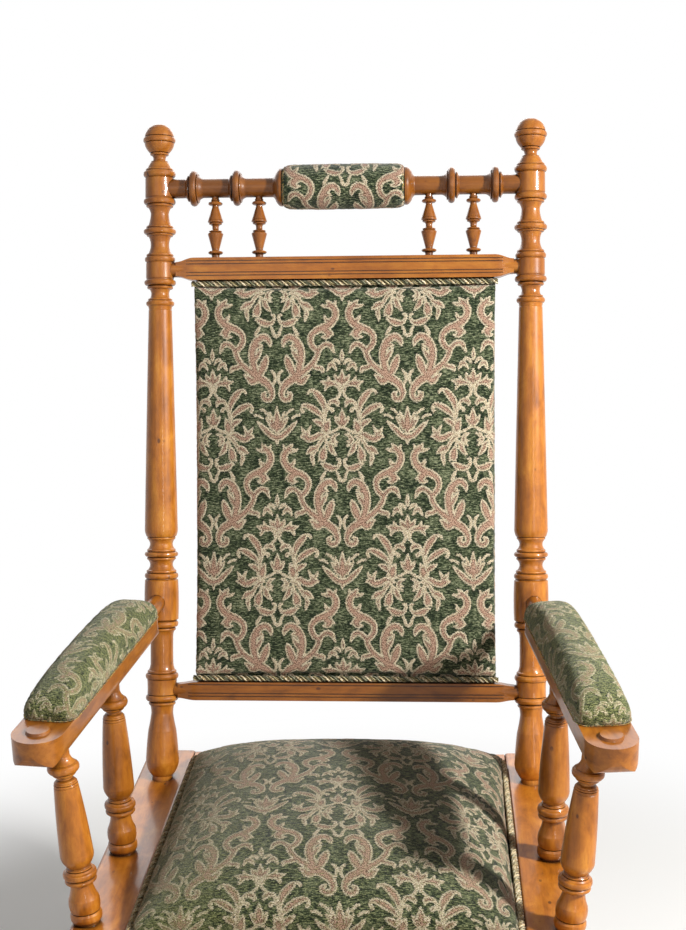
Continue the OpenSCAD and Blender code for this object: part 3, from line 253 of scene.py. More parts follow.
def figure_at(u, v):
    """The field at cloth coordinates in millimetres, from the middle of a bouquet."""
    row = np.floor(v / DROP)
    x = np.abs((u - HALF * (row % 2) + HALF) % (2 * HALF) - HALF) / STEP
    y = (v - row * DROP) / STEP
    rows, columns = FIELD.shape
    x0 = np.clip(x.astype(int), 0, columns - 2)
    y0 = np.clip(y.astype(int), 0, rows - 1)
    fx, fy = x - x0, y - y0

    def at(j, i):
        return FIELD[j % rows, np.where(j >= rows, columns - 1 - i, i)]

    low = (1 - fx) * at(y0, x0) + fx * at(y0, x0 + 1)
    high = (1 - fx) * at(y0 + 1, x0) + fx * at(y0 + 1, x0 + 1)
    return (1 - fy) * low + fy * high


# Materials
def rgb(red, green, blue):
    """A display colour from 0 to 255 a channel, as linear light."""
    share = [c / 255 for c in (red, green, blue)]
    return [c / 12.92 if c < .04045 else ((c + .055) / 1.055) ** 2.4 for c in share] + [1]


class Nodes:
    """A tree of shader nodes, built up one node at a time. Colours are display colours from 0 to 255."""

    def __init__(self, tree):
        self.tree = tree

    def set(self, socket, value):
        if isinstance(value, bpy.types.NodeSocket):
            self.tree.links.new(value, socket)
        else:
            socket.default_value = value

    def add(self, kind, inputs=(), **settings):
        node = self.tree.nodes.new("ShaderNode" + kind)
        for key, value in settings.items():
            setattr(node, key, value)
        for key, value in dict(inputs).items():
            self.set(node.inputs[key], value)
        return node

    def math(self, operation, a, b=0.0):
        return self.add("Math", {0: a, 1: b}, operation=operation).outputs[0]

    def seen_directly(self):
        """1 for the camera's own rays and for what gloss and glass show, and 0 for light."""
        path = self.add("LightPath").outputs
        shown = self.math("MAXIMUM", path["Is Camera Ray"], path["Is Glossy Ray"])
        return self.math("MAXIMUM", shown, path["Is Transmission Ray"])

    def show_mix(self, share, first, second, output):
        """Sends a mix of two shaders to the tree's output."""
        mixed = self.add("MixShader", {0: share, 1: first.outputs[0], 2: second.outputs[0]})
        self.set(self.tree.nodes[output].inputs[0], mixed.outputs[0])

    def plus(self, a, b):
        return self.math("ADD", a, b)

    def times(self, a, b):
        return self.math("MULTIPLY", a, b)

    def place(self, vector, scale=(1, 1, 1), degrees=(0, 0, 0), shift=(0, 0, 0)):
        spin = [math.radians(a) for a in degrees]
        inputs = {"Vector": vector, "Location": shift, "Rotation": spin, "Scale": scale}
        return self.add("Mapping", inputs).outputs[0]

    def noise(self, vector, scale, detail=2.0, rough=.5, warp=0.0):
        """Noise at one scale, or at a scale for each axis."""
        if isinstance(scale, tuple):
            vector, scale = self.place(vector, scale), 1.0
        inputs = {"Vector": vector, "Scale": scale, "Detail": detail, "Roughness": rough, "Distortion": warp}
        return self.add("TexNoise", inputs).outputs["Fac"]

    def ramp(self, value, *stops):
        node = self.add("ValToRGB", {"Fac": value})
        elements = node.color_ramp.elements
        while len(elements) < len(stops):
            elements.new(1)
        for element, (at, colour) in zip(elements, stops):
            element.position = at
            element.color = rgb(*colour)
        return node.outputs["Color"]

    def mix(self, share, a, b):
        node = self.add("Mix", data_type="RGBA")
        self.set(node.inputs[0], share)
        for socket, colour in ((node.inputs[6], a), (node.inputs[7], b)):
            self.set(socket, rgb(*colour) if isinstance(colour, tuple) else colour)
        return node.outputs[2]

    def stain(self, colour, other, where, strength):
        """The colour, with another over it where a value is 1."""
        return self.mix(self.times(where, strength), colour, other)

    def step(self, value, start, end):
        """0 before start and 1 after end, with a soft change between them."""
        inputs = {"Value": value, "From Min": start, "From Max": end}
        return self.add("MapRange", inputs, interpolation_type="SMOOTHSTEP").outputs["Result"]

    def line_at(self, value, at, outer, inner):
        """1 within inner of a value, and 0 beyond outer."""
        return self.step(self.math("ABSOLUTE", self.plus(value, -at)), outer, inner)

    def attribute(self, name, output="Fac"):
        return self.add("Attribute", attribute_name=name).outputs[output]

    def axis(self, vector, which):
        return self.add("SeparateXYZ", {0: vector}).outputs[which]

    def object_place(self):
        return self.add("TexCoord").outputs["Object"]


class Shader(Nodes):
    """A material. Its name is followed by the inputs of its surface."""

    def __init__(self, name, **surface):
        self.material = bpy.data.materials.new(name)
        self.material.use_nodes = True
        super().__init__(self.material.node_tree)
        self.surface = self.tree.nodes["Principled BSDF"]
        for key, value in surface.items():
            self.set(self.surface.inputs[key.replace("_", " ")], value)

    def finish(self, colour, rough, height, depth, strength):
        """Joins colour and roughness, and a height whose full range is depth metres."""
        self.set(self.surface.inputs["Base Color"], colour)
        self.set(self.surface.inputs["Roughness"], rough)
        bump = self.add("Bump", {"Height": height, "Distance": depth, "Strength": strength})
        self.set(self.surface.inputs["Normal"], bump.outputs[0])
        return self.material


# The height in metres above which the wood's finish has darkened
SMOKED_Z = .95


def wood(name, grain, seed, tones):
    """Shellacked wood, with shade painted into its grooves and hollows. grain is the turn that brings the
    piece's length to Z.
    """
    dark, middle, light = tones
    s = Shader(name, Coat_Weight=.32, Coat_Roughness=.13, Specular_IOR_Level=.3)
    here = s.place(s.object_place(), degrees=grain, shift=(seed * .137, seed * .071, seed * .233))
    cloud = s.noise(here, (11, 11, 7), 4, .55)
    mottle = s.noise(here, (60, 60, 26), 5, .62, .4)
    figure = s.noise(here, (170, 170, 14), 4, .62, .3)
    pores = s.noise(here, (900, 900, 90), 3, .6)
    body = s.plus(s.times(mottle, .7), s.times(figure, .3))
    colour = s.ramp(body, (.27, dark), (.5, middle), (.73, light))
    colour = s.stain(colour, dark, s.step(cloud, .5, .74), .48)
    tall = s.plus(s.axis(s.object_place(), 2), s.times(cloud, .05))
    colour = s.stain(colour, dark, s.step(tall, SMOKED_Z, SMOKED_Z + .05), .3)
    colour = s.stain(colour, (84, 38, 12), s.step(pores, .6, .72), .3)
    speck = s.add("TexVoronoi", {"Vector": s.place(here, (70, 70, 42)), "Scale": 1.0}).outputs["Distance"]
    rare = s.step(s.noise(here, (23, 23, 23), 1), .56, .62)
    colour = s.stain(colour, (60, 26, 10), s.times(s.step(speck, .16, .09), rare), .75)
    # Painted shade: the colour turns dark brown where the AO node finds the surface hemmed in, in grooves
    # and between parts; it also stands for old finish gathered there
    groove_shade_and_grime = s.add("AmbientOcclusion", {"Distance": .011}, samples=6).outputs["AO"]
    colour = s.stain(colour, (44, 18, 7), s.step(groove_shade_and_grime, .9, .32), .9)
    rough = s.plus(.3, s.times(cloud, .2))
    return s.finish(colour, rough, s.plus(figure, pores), .00012, .5)


# How far inside the figure's edge its dark inner line and its vein lie, in millimetres
INNER_LINE = 2.3
VEIN = 5.4


def damask(name, faded=0.0, left=0.0, darkening=0.0):
    """Green chenille with a cream and pink figure.

    faded is how far its colours have faded with wear. left adds painted sheen: how much further the colours
    wash out towards the left side, standing for light that the nap throws back there.
    darkening is how far all its colours are mixed towards a dark olive.
    """
    s = Shader(name, Sheen_Weight=.2, Sheen_Roughness=.45, Specular_IOR_Level=.15)
    cloth = s.attribute("cloth", "Vector")
    streak = s.noise(cloth, (.2, .62, 1), 4, .72)
    tuft = s.noise(cloth, (.75, 1.35, 1), 2, .6)
    patch = s.noise(cloth, (.045, .07, 1), 3, .6)
    ragged = s.noise(cloth, (.5, .85, 1), 2, .6)
    dots = s.noise(s.place(cloth, (1.2, .7, 1), (0, 0, 38)), 1.0, 1)
    edge = s.plus(s.attribute("figure"), s.times(s.plus(ragged, -.5), 6))
    ground = s.plus(s.times(streak, .6), s.plus(s.times(tuft, .2), s.times(patch, .2)))
    green = s.ramp(ground, (.44, (16, 25, 15)), (.475, (33, 44, 27)), (.505, (62, 72, 47)),
                   (.54, (100, 108, 78)), (.58, (152, 154, 122)))
    cream = s.ramp(tuft, (.4, (156, 136, 100)), (.5, (208, 192, 158)), (.6, (236, 226, 202)))
    pink = s.ramp(dots, (.4, (106, 68, 50)), (.48, (176, 140, 116)), (.6, (206, 174, 150)))
    # Painted shade: the green ground is darker just outside the figure's edge, where the raised figure and
    # its pile would shade it
    green = s.stain(green, (17, 27, 17), s.step(edge, 2.4, .4), .5)
    colour = s.mix(s.step(edge, .3, -.3), green, cream)
    colour = s.mix(s.step(edge, -1.9, -2.4), colour, pink)
    outline = s.times(s.line_at(edge, -INNER_LINE, 1, .35), s.step(dots, .6, .5))
    colour = s.stain(colour, (74, 44, 30), outline, .9)
    vein = s.times(s.line_at(edge, -VEIN, .9, .3), s.step(dots, .58, .48))
    colour = s.stain(colour, (88, 54, 38), vein, .75)
    if faded:
        fade_and_sheen = s.plus(faded, s.times(s.plus(streak, -.5), 5))
        # With left, painted sheen: the colours wash out more towards the cloth's left, standing for light
        # that the nap throws back there
        if left:
            side = s.step(s.plus(s.axis(cloth, 0), s.times(patch, 60)), -20, -150)
            fade_and_sheen = s.math("MINIMUM", s.plus(fade_and_sheen, s.times(side, left)), .75)
        fade_and_sheen_tone = s.ramp(tuft, (.4, (62, 70, 30)), (.5, (114, 120, 66)), (.6, (174, 172, 116)))
        colour = s.mix(s.math("MAXIMUM", fade_and_sheen, 0), colour, fade_and_sheen_tone)
    if darkening:
        colour = s.mix(darkening, colour, (34, 34, 18))
    waves = {"Vector": s.place(cloth, (.02, 1, 1)), "Scale": .21, "Distortion": .6, "Detail": 1.0}
    rib = s.add("TexWave", waves, bands_direction="Y").outputs["Fac"]
    nap = s.plus(s.times(streak, 1.2), s.times(rib, .2))
    raised = s.plus(s.times(tuft, .6), s.times(s.step(edge, .4, -.5), .5))
    return s.finish(colour, s.plus(.8, s.times(tuft, .2)), s.plus(nap, raised), .0011, .85)


def twisted(name, faded):
    """Three twisted strands of ribbed yarn: one speckled cream and gold, and two green.

    faded is how far the green has gone towards the cream.
    """
    s = Shader(name, Sheen_Weight=.2, Sheen_Roughness=.4, Specular_IOR_Level=.3)
    yarn = s.noise(s.object_place(), 750, 3, .65)
    which = s.attribute("strand")
    ply = s.math("SINE", s.attribute("turned"))
    rib = s.plus(s.times(ply, .35), yarn)
    cream = s.ramp(yarn, (.38, (106, 80, 46)), (.46, (188, 160, 106)), (.54, (216, 202, 168)),
                   (.64, (238, 230, 208)))
    deep = s.ramp(rib, (.3, (30, 38, 24)), (.6, (74, 84, 56)), (.84, (160, 160, 128)))
    pale = s.ramp(rib, (.25, (78, 68, 36)), (.55, (146, 132, 82)), (.82, (204, 192, 150)))
    colour = s.mix(s.step(which, .45, .55), cream, deep)
    colour = s.mix(s.step(which, 1.45, 1.55), colour, pale)
    colour = s.mix(faded, colour, cream)
    return s.finish(colour, .75, s.plus(yarn, s.times(ply, .6)), .0006, .9)


def woven(name, pale, dark, pitch):
    """A plain weave of flat yarns, pitch millimetres apart."""
    s = Shader(name, Sheen_Weight=.15, Specular_IOR_Level=.2)
    cloth = s.attribute("cloth", "Vector")
    turns = 2 * math.pi / pitch
    warp = s.math("SINE", s.axis(s.place(cloth, (turns, 1, 1)), 0))
    weft = s.math("SINE", s.axis(s.place(cloth, (1, turns, 1)), 1))
    weave = s.times(warp, weft)
    slub = s.noise(cloth, (.05, .9, 1), 3)
    stain = s.noise(cloth, (.012, .012, 1), 3)
    share = s.plus(s.times(weave, .16), s.plus(slub, s.times(stain, .3)))
    return s.finish(s.ramp(share, (.35, dark), (.85, pale)), .85, s.plus(weave, slub), .0005, .6)


def iron(name):
    """Cast iron with a thin black coat, rubbed and rusted in places."""
    s = Shader(name, Metallic=.55, Specular_IOR_Level=.5)
    place = s.object_place()
    cast = s.noise(place, 1100, 3, .6)
    patch = s.noise(place, 34, 4, .6)
    colour = s.ramp(patch, (.4, (24, 23, 23)), (.62, (52, 50, 49)))
    rust = s.step(s.noise(place, 60, 5, .65), .58, .7)
    colour = s.stain(colour, (74, 44, 28), rust, .55)
    return s.finish(colour, s.plus(.38, s.times(patch, .25)), cast, .0004, .6)


def steel(name):
    """Spring wire and pins, darkened with age."""
    s = Shader(name, Metallic=.95)
    place = s.object_place()
    patch = s.noise(place, 120, 4, .6)
    colour = s.ramp(patch, (.35, (70, 66, 62)), (.65, (138, 134, 128)))
    return s.finish(colour, s.plus(.28, s.times(patch, .3)), s.noise(place, 2500), .00006, .5)


def thread(name, *colours):
    """Loose yarn ends of several colours."""
    s = Shader(name, Sheen_Weight=.2, Specular_IOR_Level=.2)
    stops = [((i + .5) / len(colours), colour) for i, colour in enumerate(colours)]
    colour = s.ramp(s.attribute("strand"), *stops)
    return s.finish(colour, .8, s.noise(s.object_place(), 2600), .0003, .6)


# Meshes
def linked(name, data):
    """A new object in the scene."""
    obj = bpy.data.objects.new(name, data)
    bpy.context.scene.collection.objects.link(obj)
    return obj


def mesh_of(name, points, faces):
    mesh = bpy.data.meshes.new(name)
    mesh.from_pydata([tuple(p) for p in points], [], faces)
    return mesh


def new_piece(name, points, faces, material, body="chair"):
    """A mesh in millimetres in the shared frame, which rides on a body."""
    mesh = mesh_of(name, np.asarray(points, float) / 1000, faces)
    mesh.validate()
    mesh.materials.append(material)
    mesh.polygons.foreach_set("use_smooth", [True] * len(mesh.polygons))
    obj = linked(name, mesh)
    if body:
        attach(obj, body)
    return obj


def store(obj, name, values):
    """Keeps one value, or one vector, for each point."""
    values = np.asarray(values, np.float32)
    kind = "FLOAT" if values.ndim == 1 else "FLOAT_VECTOR"
    layer = obj.data.attributes.new(name, kind, "POINT")
    layer.data.foreach_set("value" if values.ndim == 1 else "vector", values.ravel())


def vectors(items, key):
    """One vector of each item, as rows."""
    values = np.zeros(len(items) * 3, np.float32)
    items.foreach_get(key, values)
    return values.reshape(-1, 3).astype(float)


def modified(obj):
    """The object's mesh after its modifiers."""
    return obj.evaluated_get(bpy.context.evaluated_depsgraph_get()).to_mesh()


def discard(obj):
    mesh = obj.data
    bpy.data.objects.remove(obj)
    bpy.data.meshes.remove(mesh)


def placed(points, matrix):
    """Points moved from a local frame to the shared frame."""
    m = np.array(matrix)
    return np.asarray(points, float) @ m[:3, :3].T + m[:3, 3]


def flat_vectors(across, along):
    """Cloth coordinates as vectors."""
    return np.column_stack([across, along, np.zeros_like(across)])


def net(rows, columns, rows_close=False, columns_close=False, start=0):
    """The quads between rows of points, which may close on themselves either way."""
    faces = []
    for i in range(rows if rows_close else rows - 1):
        a, b = start + i * columns, start + (i + 1) % rows * columns
        for k in range(columns if columns_close else columns - 1):
            n = (k + 1) % columns
            faces.append((a + k, a + n, b + n, b + k))
    return faces


def border(rows, columns):
    """The points round the edge of a grid, in order."""
    grid = np.arange(rows * columns).reshape(rows, columns)
    return np.concatenate([grid[0], grid[1:-1, -1], grid[-1, ::-1], grid[-2:0:-1, 0]]).tolist()


def band(upper, lower):
    """The quads between two closed loops of points."""
    beside = zip(upper, upper[1:] + upper[:1], lower, lower[1:] + lower[:1])
    return [(b, a, c, d) for a, b, c, d in beside]


def merged(parts):
    """The points and faces of several parts, as one part."""
    points, faces, start = [], [], 0
    for part_points, part_faces in parts:
        points.append(part_points)
        faces += [tuple(start + i for i in face) for face in part_faces]
        start += len(part_points)
    return np.vstack(points), faces


def spread(n, closer):
    """n + 1 places from -1 to 1, closer together near the ends."""
    t = np.linspace(-1, 1, n + 1)
    return (1 - closer) * t + closer * np.sin(t * math.pi / 2)


def run_along(points):
    """Length along a line of points, from its start."""
    return np.concatenate([[0], np.cumsum(np.linalg.norm(np.diff(points, axis=0), axis=1))])


def from_middle(points):
    """Length along a line of points, from its middle."""
    run = run_along(points)
    return run - run[len(run) // 2]


def cornered(x, y, half_x, half_y, radius):
    """Turns the square corner of an outline into a quarter round."""
    if not radius:
        return x, y
    a = np.maximum(0, np.abs(x) - half_x + radius) / radius
    b = np.maximum(0, np.abs(y) - half_y + radius) / radius
    across = np.minimum(np.abs(x), half_x - radius) + radius * a * np.sqrt(1 - b * b / 2)
    along = np.minimum(np.abs(y), half_y - radius) + radius * b * np.sqrt(1 - a * a / 2)
    return np.sign(x) * across, np.sign(y) * along


def swell(u, v, flatness, fullness):
    """Height of a stuffed pad, from 0 at its rim to 1 in its middle."""
    room = (1 - np.abs(u) ** flatness) * (1 - np.abs(v) ** flatness)
    return np.maximum(0, room) ** fullness


def wander(x, y, seed):
    """Soft, repeatable unevenness from -1 to 1, about a unit across."""
    total = np.zeros_like(np.asarray(x, float))
    for k in range(1, 6):
        a = seed * 1.7 + k * 2.4
        total += np.sin(x * math.cos(a) * k * .9 + y * math.sin(a) * k * .9 + a * 3.1) / k
    return total / 2.3


class Pad:
    """A stuffed pad: a crowned cover on a grid, rings down its sides, and a flat base."""

    def __init__(self, nx, ny, half_x, half_y, closer):
        self.nx, self.ny = nx, ny
        self.half = half_x, half_y
        u, v = spread(nx, closer), spread(ny, closer)
        self.u, self.v = [g.ravel() for g in np.meshgrid(u, v)]
        self.rim = border(ny + 1, nx + 1)
        self.rings = []

    def spots(self, inset_x, inset_y, radius, draw):
        """Where the points lie: inset from the edge, rounded, and with the sides drawn in."""
        half_x, half_y = self.half[0] - inset_x, self.half[1] - inset_y
        x = self.u * (half_x - draw * (1 - self.v ** 2))
        y = self.v * (half_y - draw * (1 - self.u ** 2))
        return cornered(x, y, half_x, half_y, radius)

    def ring(self, inset_x, inset_y, radius, draw, height):
        x, y = self.spots(inset_x, inset_y, radius, draw)
        self.rings.append(np.column_stack([x, y, np.full(len(x), float(height))])[self.rim])

    def cover(self, inset_x, inset_y, radius, draw, height):
        x, y = self.spots(inset_x, inset_y, radius, draw)
        self.top = np.column_stack([x, y, height(self.u, self.v, x, y)])
        grid = self.top.reshape(self.ny + 1, self.nx + 1, 3)
        across, along = from_middle(grid[self.ny // 2]), from_middle(grid[:, self.nx // 2])
        self.cloth = np.column_stack([g.ravel() for g in np.meshgrid(across, along)])

    def mesh(self):
        """Points, faces and cloth coordinates of the open shell, from the top to the last ring."""
        faces = net(self.ny + 1, self.nx + 1)
        points, cloth = [self.top], [self.cloth]
        before, start = self.rim, len(self.top)
        place = np.column_stack([self.u, self.v])[self.rim]
        outward = np.sign(place) * (np.abs(place) > .999)
        last, flat = self.top[self.rim], self.cloth[self.rim]
        for ring in self.rings:
            flat = flat + outward * np.linalg.norm(ring - last, axis=1)[:, None]
            now = list(range(start, start + len(ring)))
            faces += band(before, now)
            points.append(ring)
            cloth.append(flat)
            before, start, last = now, start + len(ring), ring
        return np.vstack(points), faces, np.vstack(cloth)


def finer(points, faces, cloth):
    """Points, normals, cloth coordinates and quads of a shell after smooth subdivision."""
    obj = linked("shell", mesh_of("shell", points, faces))
    store(obj, "cloth", flat_vectors(cloth[:, 0], cloth[:, 1]))
    smooth = obj.modifiers.new("finer", "SUBSURF")
    smooth.levels = smooth.render_levels = 2
    done = modified(obj)
    place, normals = vectors(done.vertices, "co"), vectors(done.vertices, "normal")
    flat = vectors(done.attributes["cloth"].data, "vector")
    quads = [tuple(p.vertices) for p in done.polygons]
    discard(obj)
    return place, normals, flat, quads


def rim_loop(quads):
    """The points of a shell's open edge, in order."""
    seen = set()
    for q in quads:
        for a, b in zip(q, q[1:] + q[:1]):
            if (b, a) in seen:
                seen.remove((b, a))
            else:
                seen.add((a, b))
    after = dict(seen)
    loop = [min(after)]
    while after[loop[-1]] != loop[0]:
        loop.append(after[loop[-1]])
    return loop


# Where the figure lies on the covers: its middle line, and the middle of a bouquet or a scroll
BACK_FIGURE = (-1.7, 424)
SEAT_FIGURE = (6, -60)
ROLL_FIGURE = (3.1, 56.9)
ARM_MIDDLES = {-1: -13, 1: 7}
ARM_SCROLL, SCROLL_DOWN = 222, 108.9
# How far the figure stands out of the cloth, and how wide the slope at its edge is, in millimetres
RELIEF = 0.35
SLOPE = 1.2
# Frames and pressure of the simulation that swells the cushions
SWELL_FRAMES = 20
PRESSURE = 4


def swollen(points, faces, free, cap):
    """The shell after its cloth has swelled over the stuffing, for SWELL_FRAMES of simulation.

    free is 0 where the cover is sewn or tacked, and 1 where it moves. No point moves further
    than cap millimetres.
    """
    obj = linked("swelling", mesh_of("swelling", points / 1000, faces))
    pins = obj.vertex_groups.new(name="pins")
    for k, share in enumerate(free):
        pins.add([k], float(1 - share), "REPLACE")
    cloth = obj.modifiers.new("cloth", "CLOTH")
    cloth.settings.vertex_group_mass = "pins"
    cloth.settings.use_pressure = True
    cloth.settings.uniform_pressure_force = PRESSURE
    cloth.settings.effector_weights.gravity = 0
    cloth.point_cache.frame_end = SWELL_FRAMES
    for frame_number in range(1, SWELL_FRAMES + 1):
        bpy.context.scene.frame_set(frame_number)
    step = vectors(modified(obj).vertices, "co") * 1000 - points
    discard(obj)
    bpy.context.scene.frame_set(1)
    far = np.linalg.norm(step, axis=1)[:, None]
    return points + step * cap * np.tanh(far / cap) / np.maximum(far, 1e-6)


def raised(field):
    """How far the figure lifts the cloth."""
    return RELIEF * np.clip(.5 - field / SLOPE, 0, 1)


def tufts(u, v):
    """The chenille's own unevenness, from -1 to 1."""
    return wander(u / 2.2, v / 1.1, 3)


def upholstered(name, pad, matrix, origin, material, node, cap, skew=0.0):
    """Dresses a pad in damask, with the figure's origin at the given cloth coordinates."""
    points, faces, cloth = pad.mesh()
    free = np.zeros(len(points))
    free[:len(pad.u)] = np.clip(np.minimum(1 - np.abs(pad.u), 1 - np.abs(pad.v)) * 8, 0, 1)
    points = swollen(points, faces, free, cap)
    place, normals, flat, quads = finer(points, faces, cloth)
    u = flat[:, 0] - origin[0] + skew * (flat[:, 1] - origin[1])
    v = flat[:, 1] - origin[1]
    field = figure_at(u, v)
    place = place + normals * (raised(field) + .25 * tufts(u, v))[:, None]
    base = tuple(reversed(rim_loop(quads)))
    obj = new_piece(name, placed(place, matrix), quads + [base], material)
    store(obj, "figure", field)
    store(obj, "cloth", flat_vectors(u, v))
    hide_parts(node)


def edge_puckers(x, y, half_x, half_y, pitch, reach, depth):
    """Small hollows where the cloth is tacked down beside its edge."""
    def beside(inside, run, seed):
        hollows = np.sin(run / pitch * 2 * math.pi + wander(run / 40, run * 0, seed) * 2)
        return np.exp(-np.maximum(inside, 0) / reach) * hollows

    return depth * (beside(half_x - np.abs(x), y, 5) + beside(half_y - np.abs(y), x, 7))


def back_cushion():
    """The thin panel between the back rails, with a ledge for its cords."""
    half_x, half_y = PANEL_W / 2, (PANEL_HI - PANEL_LO) / 2
    middle = (PANEL_LO + PANEL_HI) / 2
    tuck = 2 * CORD_R + GAP
    pad = Pad(64, 84, half_x, half_y, .35)

    def height(u, v, x, y):
        crown = PANEL_CROWN * swell(u, v, 3.2, .5)
        uneven = .8 * wander(x / 55, y / 60, 2) * swell(u, v, 4, 1)
        return PANEL_EDGE + crown + uneven + edge_puckers(x, y, half_x, half_y, 26, 14, .35)

    pad.cover(0, tuck, 0, 3, height)
    pad.ring(-.2, tuck - .2, 0, 3, PANEL_EDGE - 3)
    pad.ring(0, tuck, 0, 3, PANEL_LEDGE + .4)
    pad.ring(0, GAP, 0, 2, PANEL_LEDGE)
    pad.ring(.4, GAP, 0, 1, PANEL_LEDGE - 3)
    pad.ring(.6, GAP, 0, 0, .2)
    matrix = BACK_PLANE @ shift(0, PANEL_BACK, middle) @ turn("X", 90)
    upholstered("cover_back", pad, matrix, (BACK_FIGURE[0], BACK_FIGURE[1] - middle),
                damask("damask_back"), "back_cushion", 3)


def seat_cushion():
    """The high-crowned cushion between the seat boards."""
    pad = Pad(66, 74, HALF_OPEN, OPEN_HALF_Y, .5)
    half_x, half_y = HALF_OPEN - SEAT_TUCK, OPEN_HALF_Y - SEAT_TUCK
    corner = 11.45

    def height(u, v, x, y):
        crown = SEAT_CROWN * swell(u, v, 2.8, .54)
        uneven = 1.6 * wander(x / 70, y / 75, 4) * swell(u, v, 3, 1)
        return 2 * CORD_R + crown + uneven + edge_puckers(x, y, half_x, half_y, 30, 20, .6)

    pad.cover(SEAT_TUCK, SEAT_TUCK, corner, 3, height)
    pad.ring(SEAT_TUCK - .1, SEAT_TUCK - .1, corner + .05, 3, 4)
    pad.ring(SEAT_TUCK, SEAT_TUCK, corner, 2, .3)
    pad.ring(SEAT_TUCK, SEAT_TUCK, corner, 1, -12)
    # The seat's damask has painted sheen on its left side
    upholstered("cover_seat", pad, SEAT_PLANE, SEAT_FIGURE, damask("damask_seat", .06, .42, .16),
                "seat_cushion", 3, skew=.06)


def pad_plane(side):
    """The frame of an arm pad's foot."""
    return arm_plane(side) @ shift(0, -PAD_AT - PAD_LEN / 2, ARM_T / 2)


def arm_pad(side, name):
    """The covered pad on an arm."""
    pad = Pad(18, 76, PAD_W / 2, PAD_LEN / 2, .6)

    def height(u, v, x, y):
        crown = PAD_CROWN * swell(u, v, 3.2, .5)
        return PAD_EDGE + crown + .7 * wander(x / 22, y / 30, 6 + side) * swell(u, v, 4, 1)

    pad.cover(0, 0, PAD_CORNER, 0, height)
    pad.ring(-.6, -.6, PAD_CORNER, 0, PAD_EDGE - 3)
    pad.ring(.2, .2, PAD_CORNER, 0, 1.5)
    pad.ring(1.2, 1.2, PAD_CORNER, 0, 0)
    origin = (ARM_MIDDLES[side], PAD_AT + PAD_LEN / 2 - ARM_SCROLL + SCROLL_DOWN)
    upholstered("cover_arm_" + name, pad, pad_plane(side), origin, damask("damask_arm_" + name, .5),
                "arm_pad_" + name, 2.5)


def headrest_roll():
    """The covered roll, closed round the crest rail."""
    around, along = 168, 150
    half = ROLL_LEN / 2
    t = np.linspace(-1, 1, along + 1)
    drawn_in = 5.2 * np.exp(-(half - np.abs(t * half)) / 3.2)
    radius = ROLL_R * (.97 + .03 * (1 - t * t)) - drawn_in
    angles = np.arange(around) * 2 * math.pi / around
    a, r = np.meshgrid(angles, radius)
    x = np.repeat(t[:, None] * half, around, 1)
    u = x - ROLL_FIGURE[0]
    v = np.where(a > math.pi, a - 2 * math.pi, a) * ROLL_R - ROLL_FIGURE[1]
    field = figure_at(u.ravel(), v.ravel()).reshape(u.shape)
    uneven = .5 * wander(x / 18, np.cos(a) * 2, 8) + .3 * np.sin(a * 9 + wander(x / 30, a, 3))
    seam = -.9 * np.exp(-(((a - math.pi) * ROLL_R) / 1.6) ** 2)
    r = r + raised(field) + uneven * .6 + seam + .2 * tufts(u, v)
    inner, core, lip = half - .5, ROLL_CORE_R, ROLL_CORE_R + 5
    rings = list(zip(t * half, r)) + [(inner, lip), (inner, core), (-inner, core), (-inner, lip)]
    rows = [np.column_stack([np.full(around, at), -out * np.cos(angles), out * np.sin(angles)])
            for at, out in rings]
    faces = [f[:1] + f[:0:-1] for f in net(len(rows), around, True, True)]
    points = placed(np.vstack(rows), BACK_PLANE @ shift(0, 0, CREST_AT))
    obj = new_piece("cover_roll", points, faces, damask("damask_roll"))
    inside = len(points) - field.size
    no_figure = np.full(inside, 4.0)
    store(obj, "figure", np.concatenate([field.ravel(), no_figure]))
    store(obj, "cloth", np.vstack([flat_vectors(u.ravel(), v.ravel()), np.zeros((inside, 3))]))
    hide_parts("headrest_roll")


# The radius of one of three strands that touch, as a share of their bundle's
STRAND_SHARE = .4641
# A direction that no cord, spring or yarn end starts along
ASKEW = (.31, .2, .93)


def strand_outline(phase, radius, lobes):
    """The radius, at each angle, of a bundle of strands that touch."""
    small = radius * STRAND_SHARE
    off = radius - small
    third = (phase + math.pi / lobes) % (2 * math.pi / lobes) - math.pi / lobes
    return off * np.cos(third) + np.sqrt(np.maximum(small ** 2 - (off * np.sin(third)) ** 2, 0))


def tube(line, radius, sides, closed=False, lobes=0, pitch=1.0):
    """A tube along a line of points. With lobes, it is that many strands twisted round each other."""
    line = np.asarray(line, float)
    n = len(line)
    ahead = np.roll(line, -1, 0) - np.roll(line, 1, 0)
    if not closed:
        ahead[0], ahead[-1] = line[1] - line[0], line[-1] - line[-2]
    ahead /= np.linalg.norm(ahead, axis=1)[:, None]
    side = np.cross(ahead[0], ASKEW)
    across = []
    for tangent in ahead:
        side = side - tangent * (side @ tangent)
        side = side / np.linalg.norm(side)
        across.append(side)
    across = np.array(across)
    up = np.cross(ahead, across)
    phase = np.repeat([np.arange(sides) * 2 * math.pi / sides], n, 0)
    out = np.full((n, sides), float(radius))
    if lobes:
        run = run_along(line)
        whole = run[-1] + (np.linalg.norm(line[0] - line[-1]) if closed else 0)
        slip = 0
        if closed:
            twist = across[-1] - ahead[0] * (across[-1] @ ahead[0])
            slip = run / whole * math.atan2(twist @ up[0], twist @ across[0])
        phase = phase + math.pi / lobes
        out = strand_outline(phase, radius, lobes)
        turns = max(1, round(whole / pitch))
        phase = phase + (run / whole * turns * 2 * math.pi - slip)[:, None]
    shape = across[:, None] * np.cos(phase)[..., None] + up[:, None] * np.sin(phase)[..., None]
    points = (line[:, None] + shape * out[..., None]).reshape(-1, 3)
    faces = net(n, sides, closed, True)
    if not closed:
        faces += [tuple(range(sides - 1, -1, -1)), tuple(range((n - 1) * sides, n * sides))]
    return points, faces


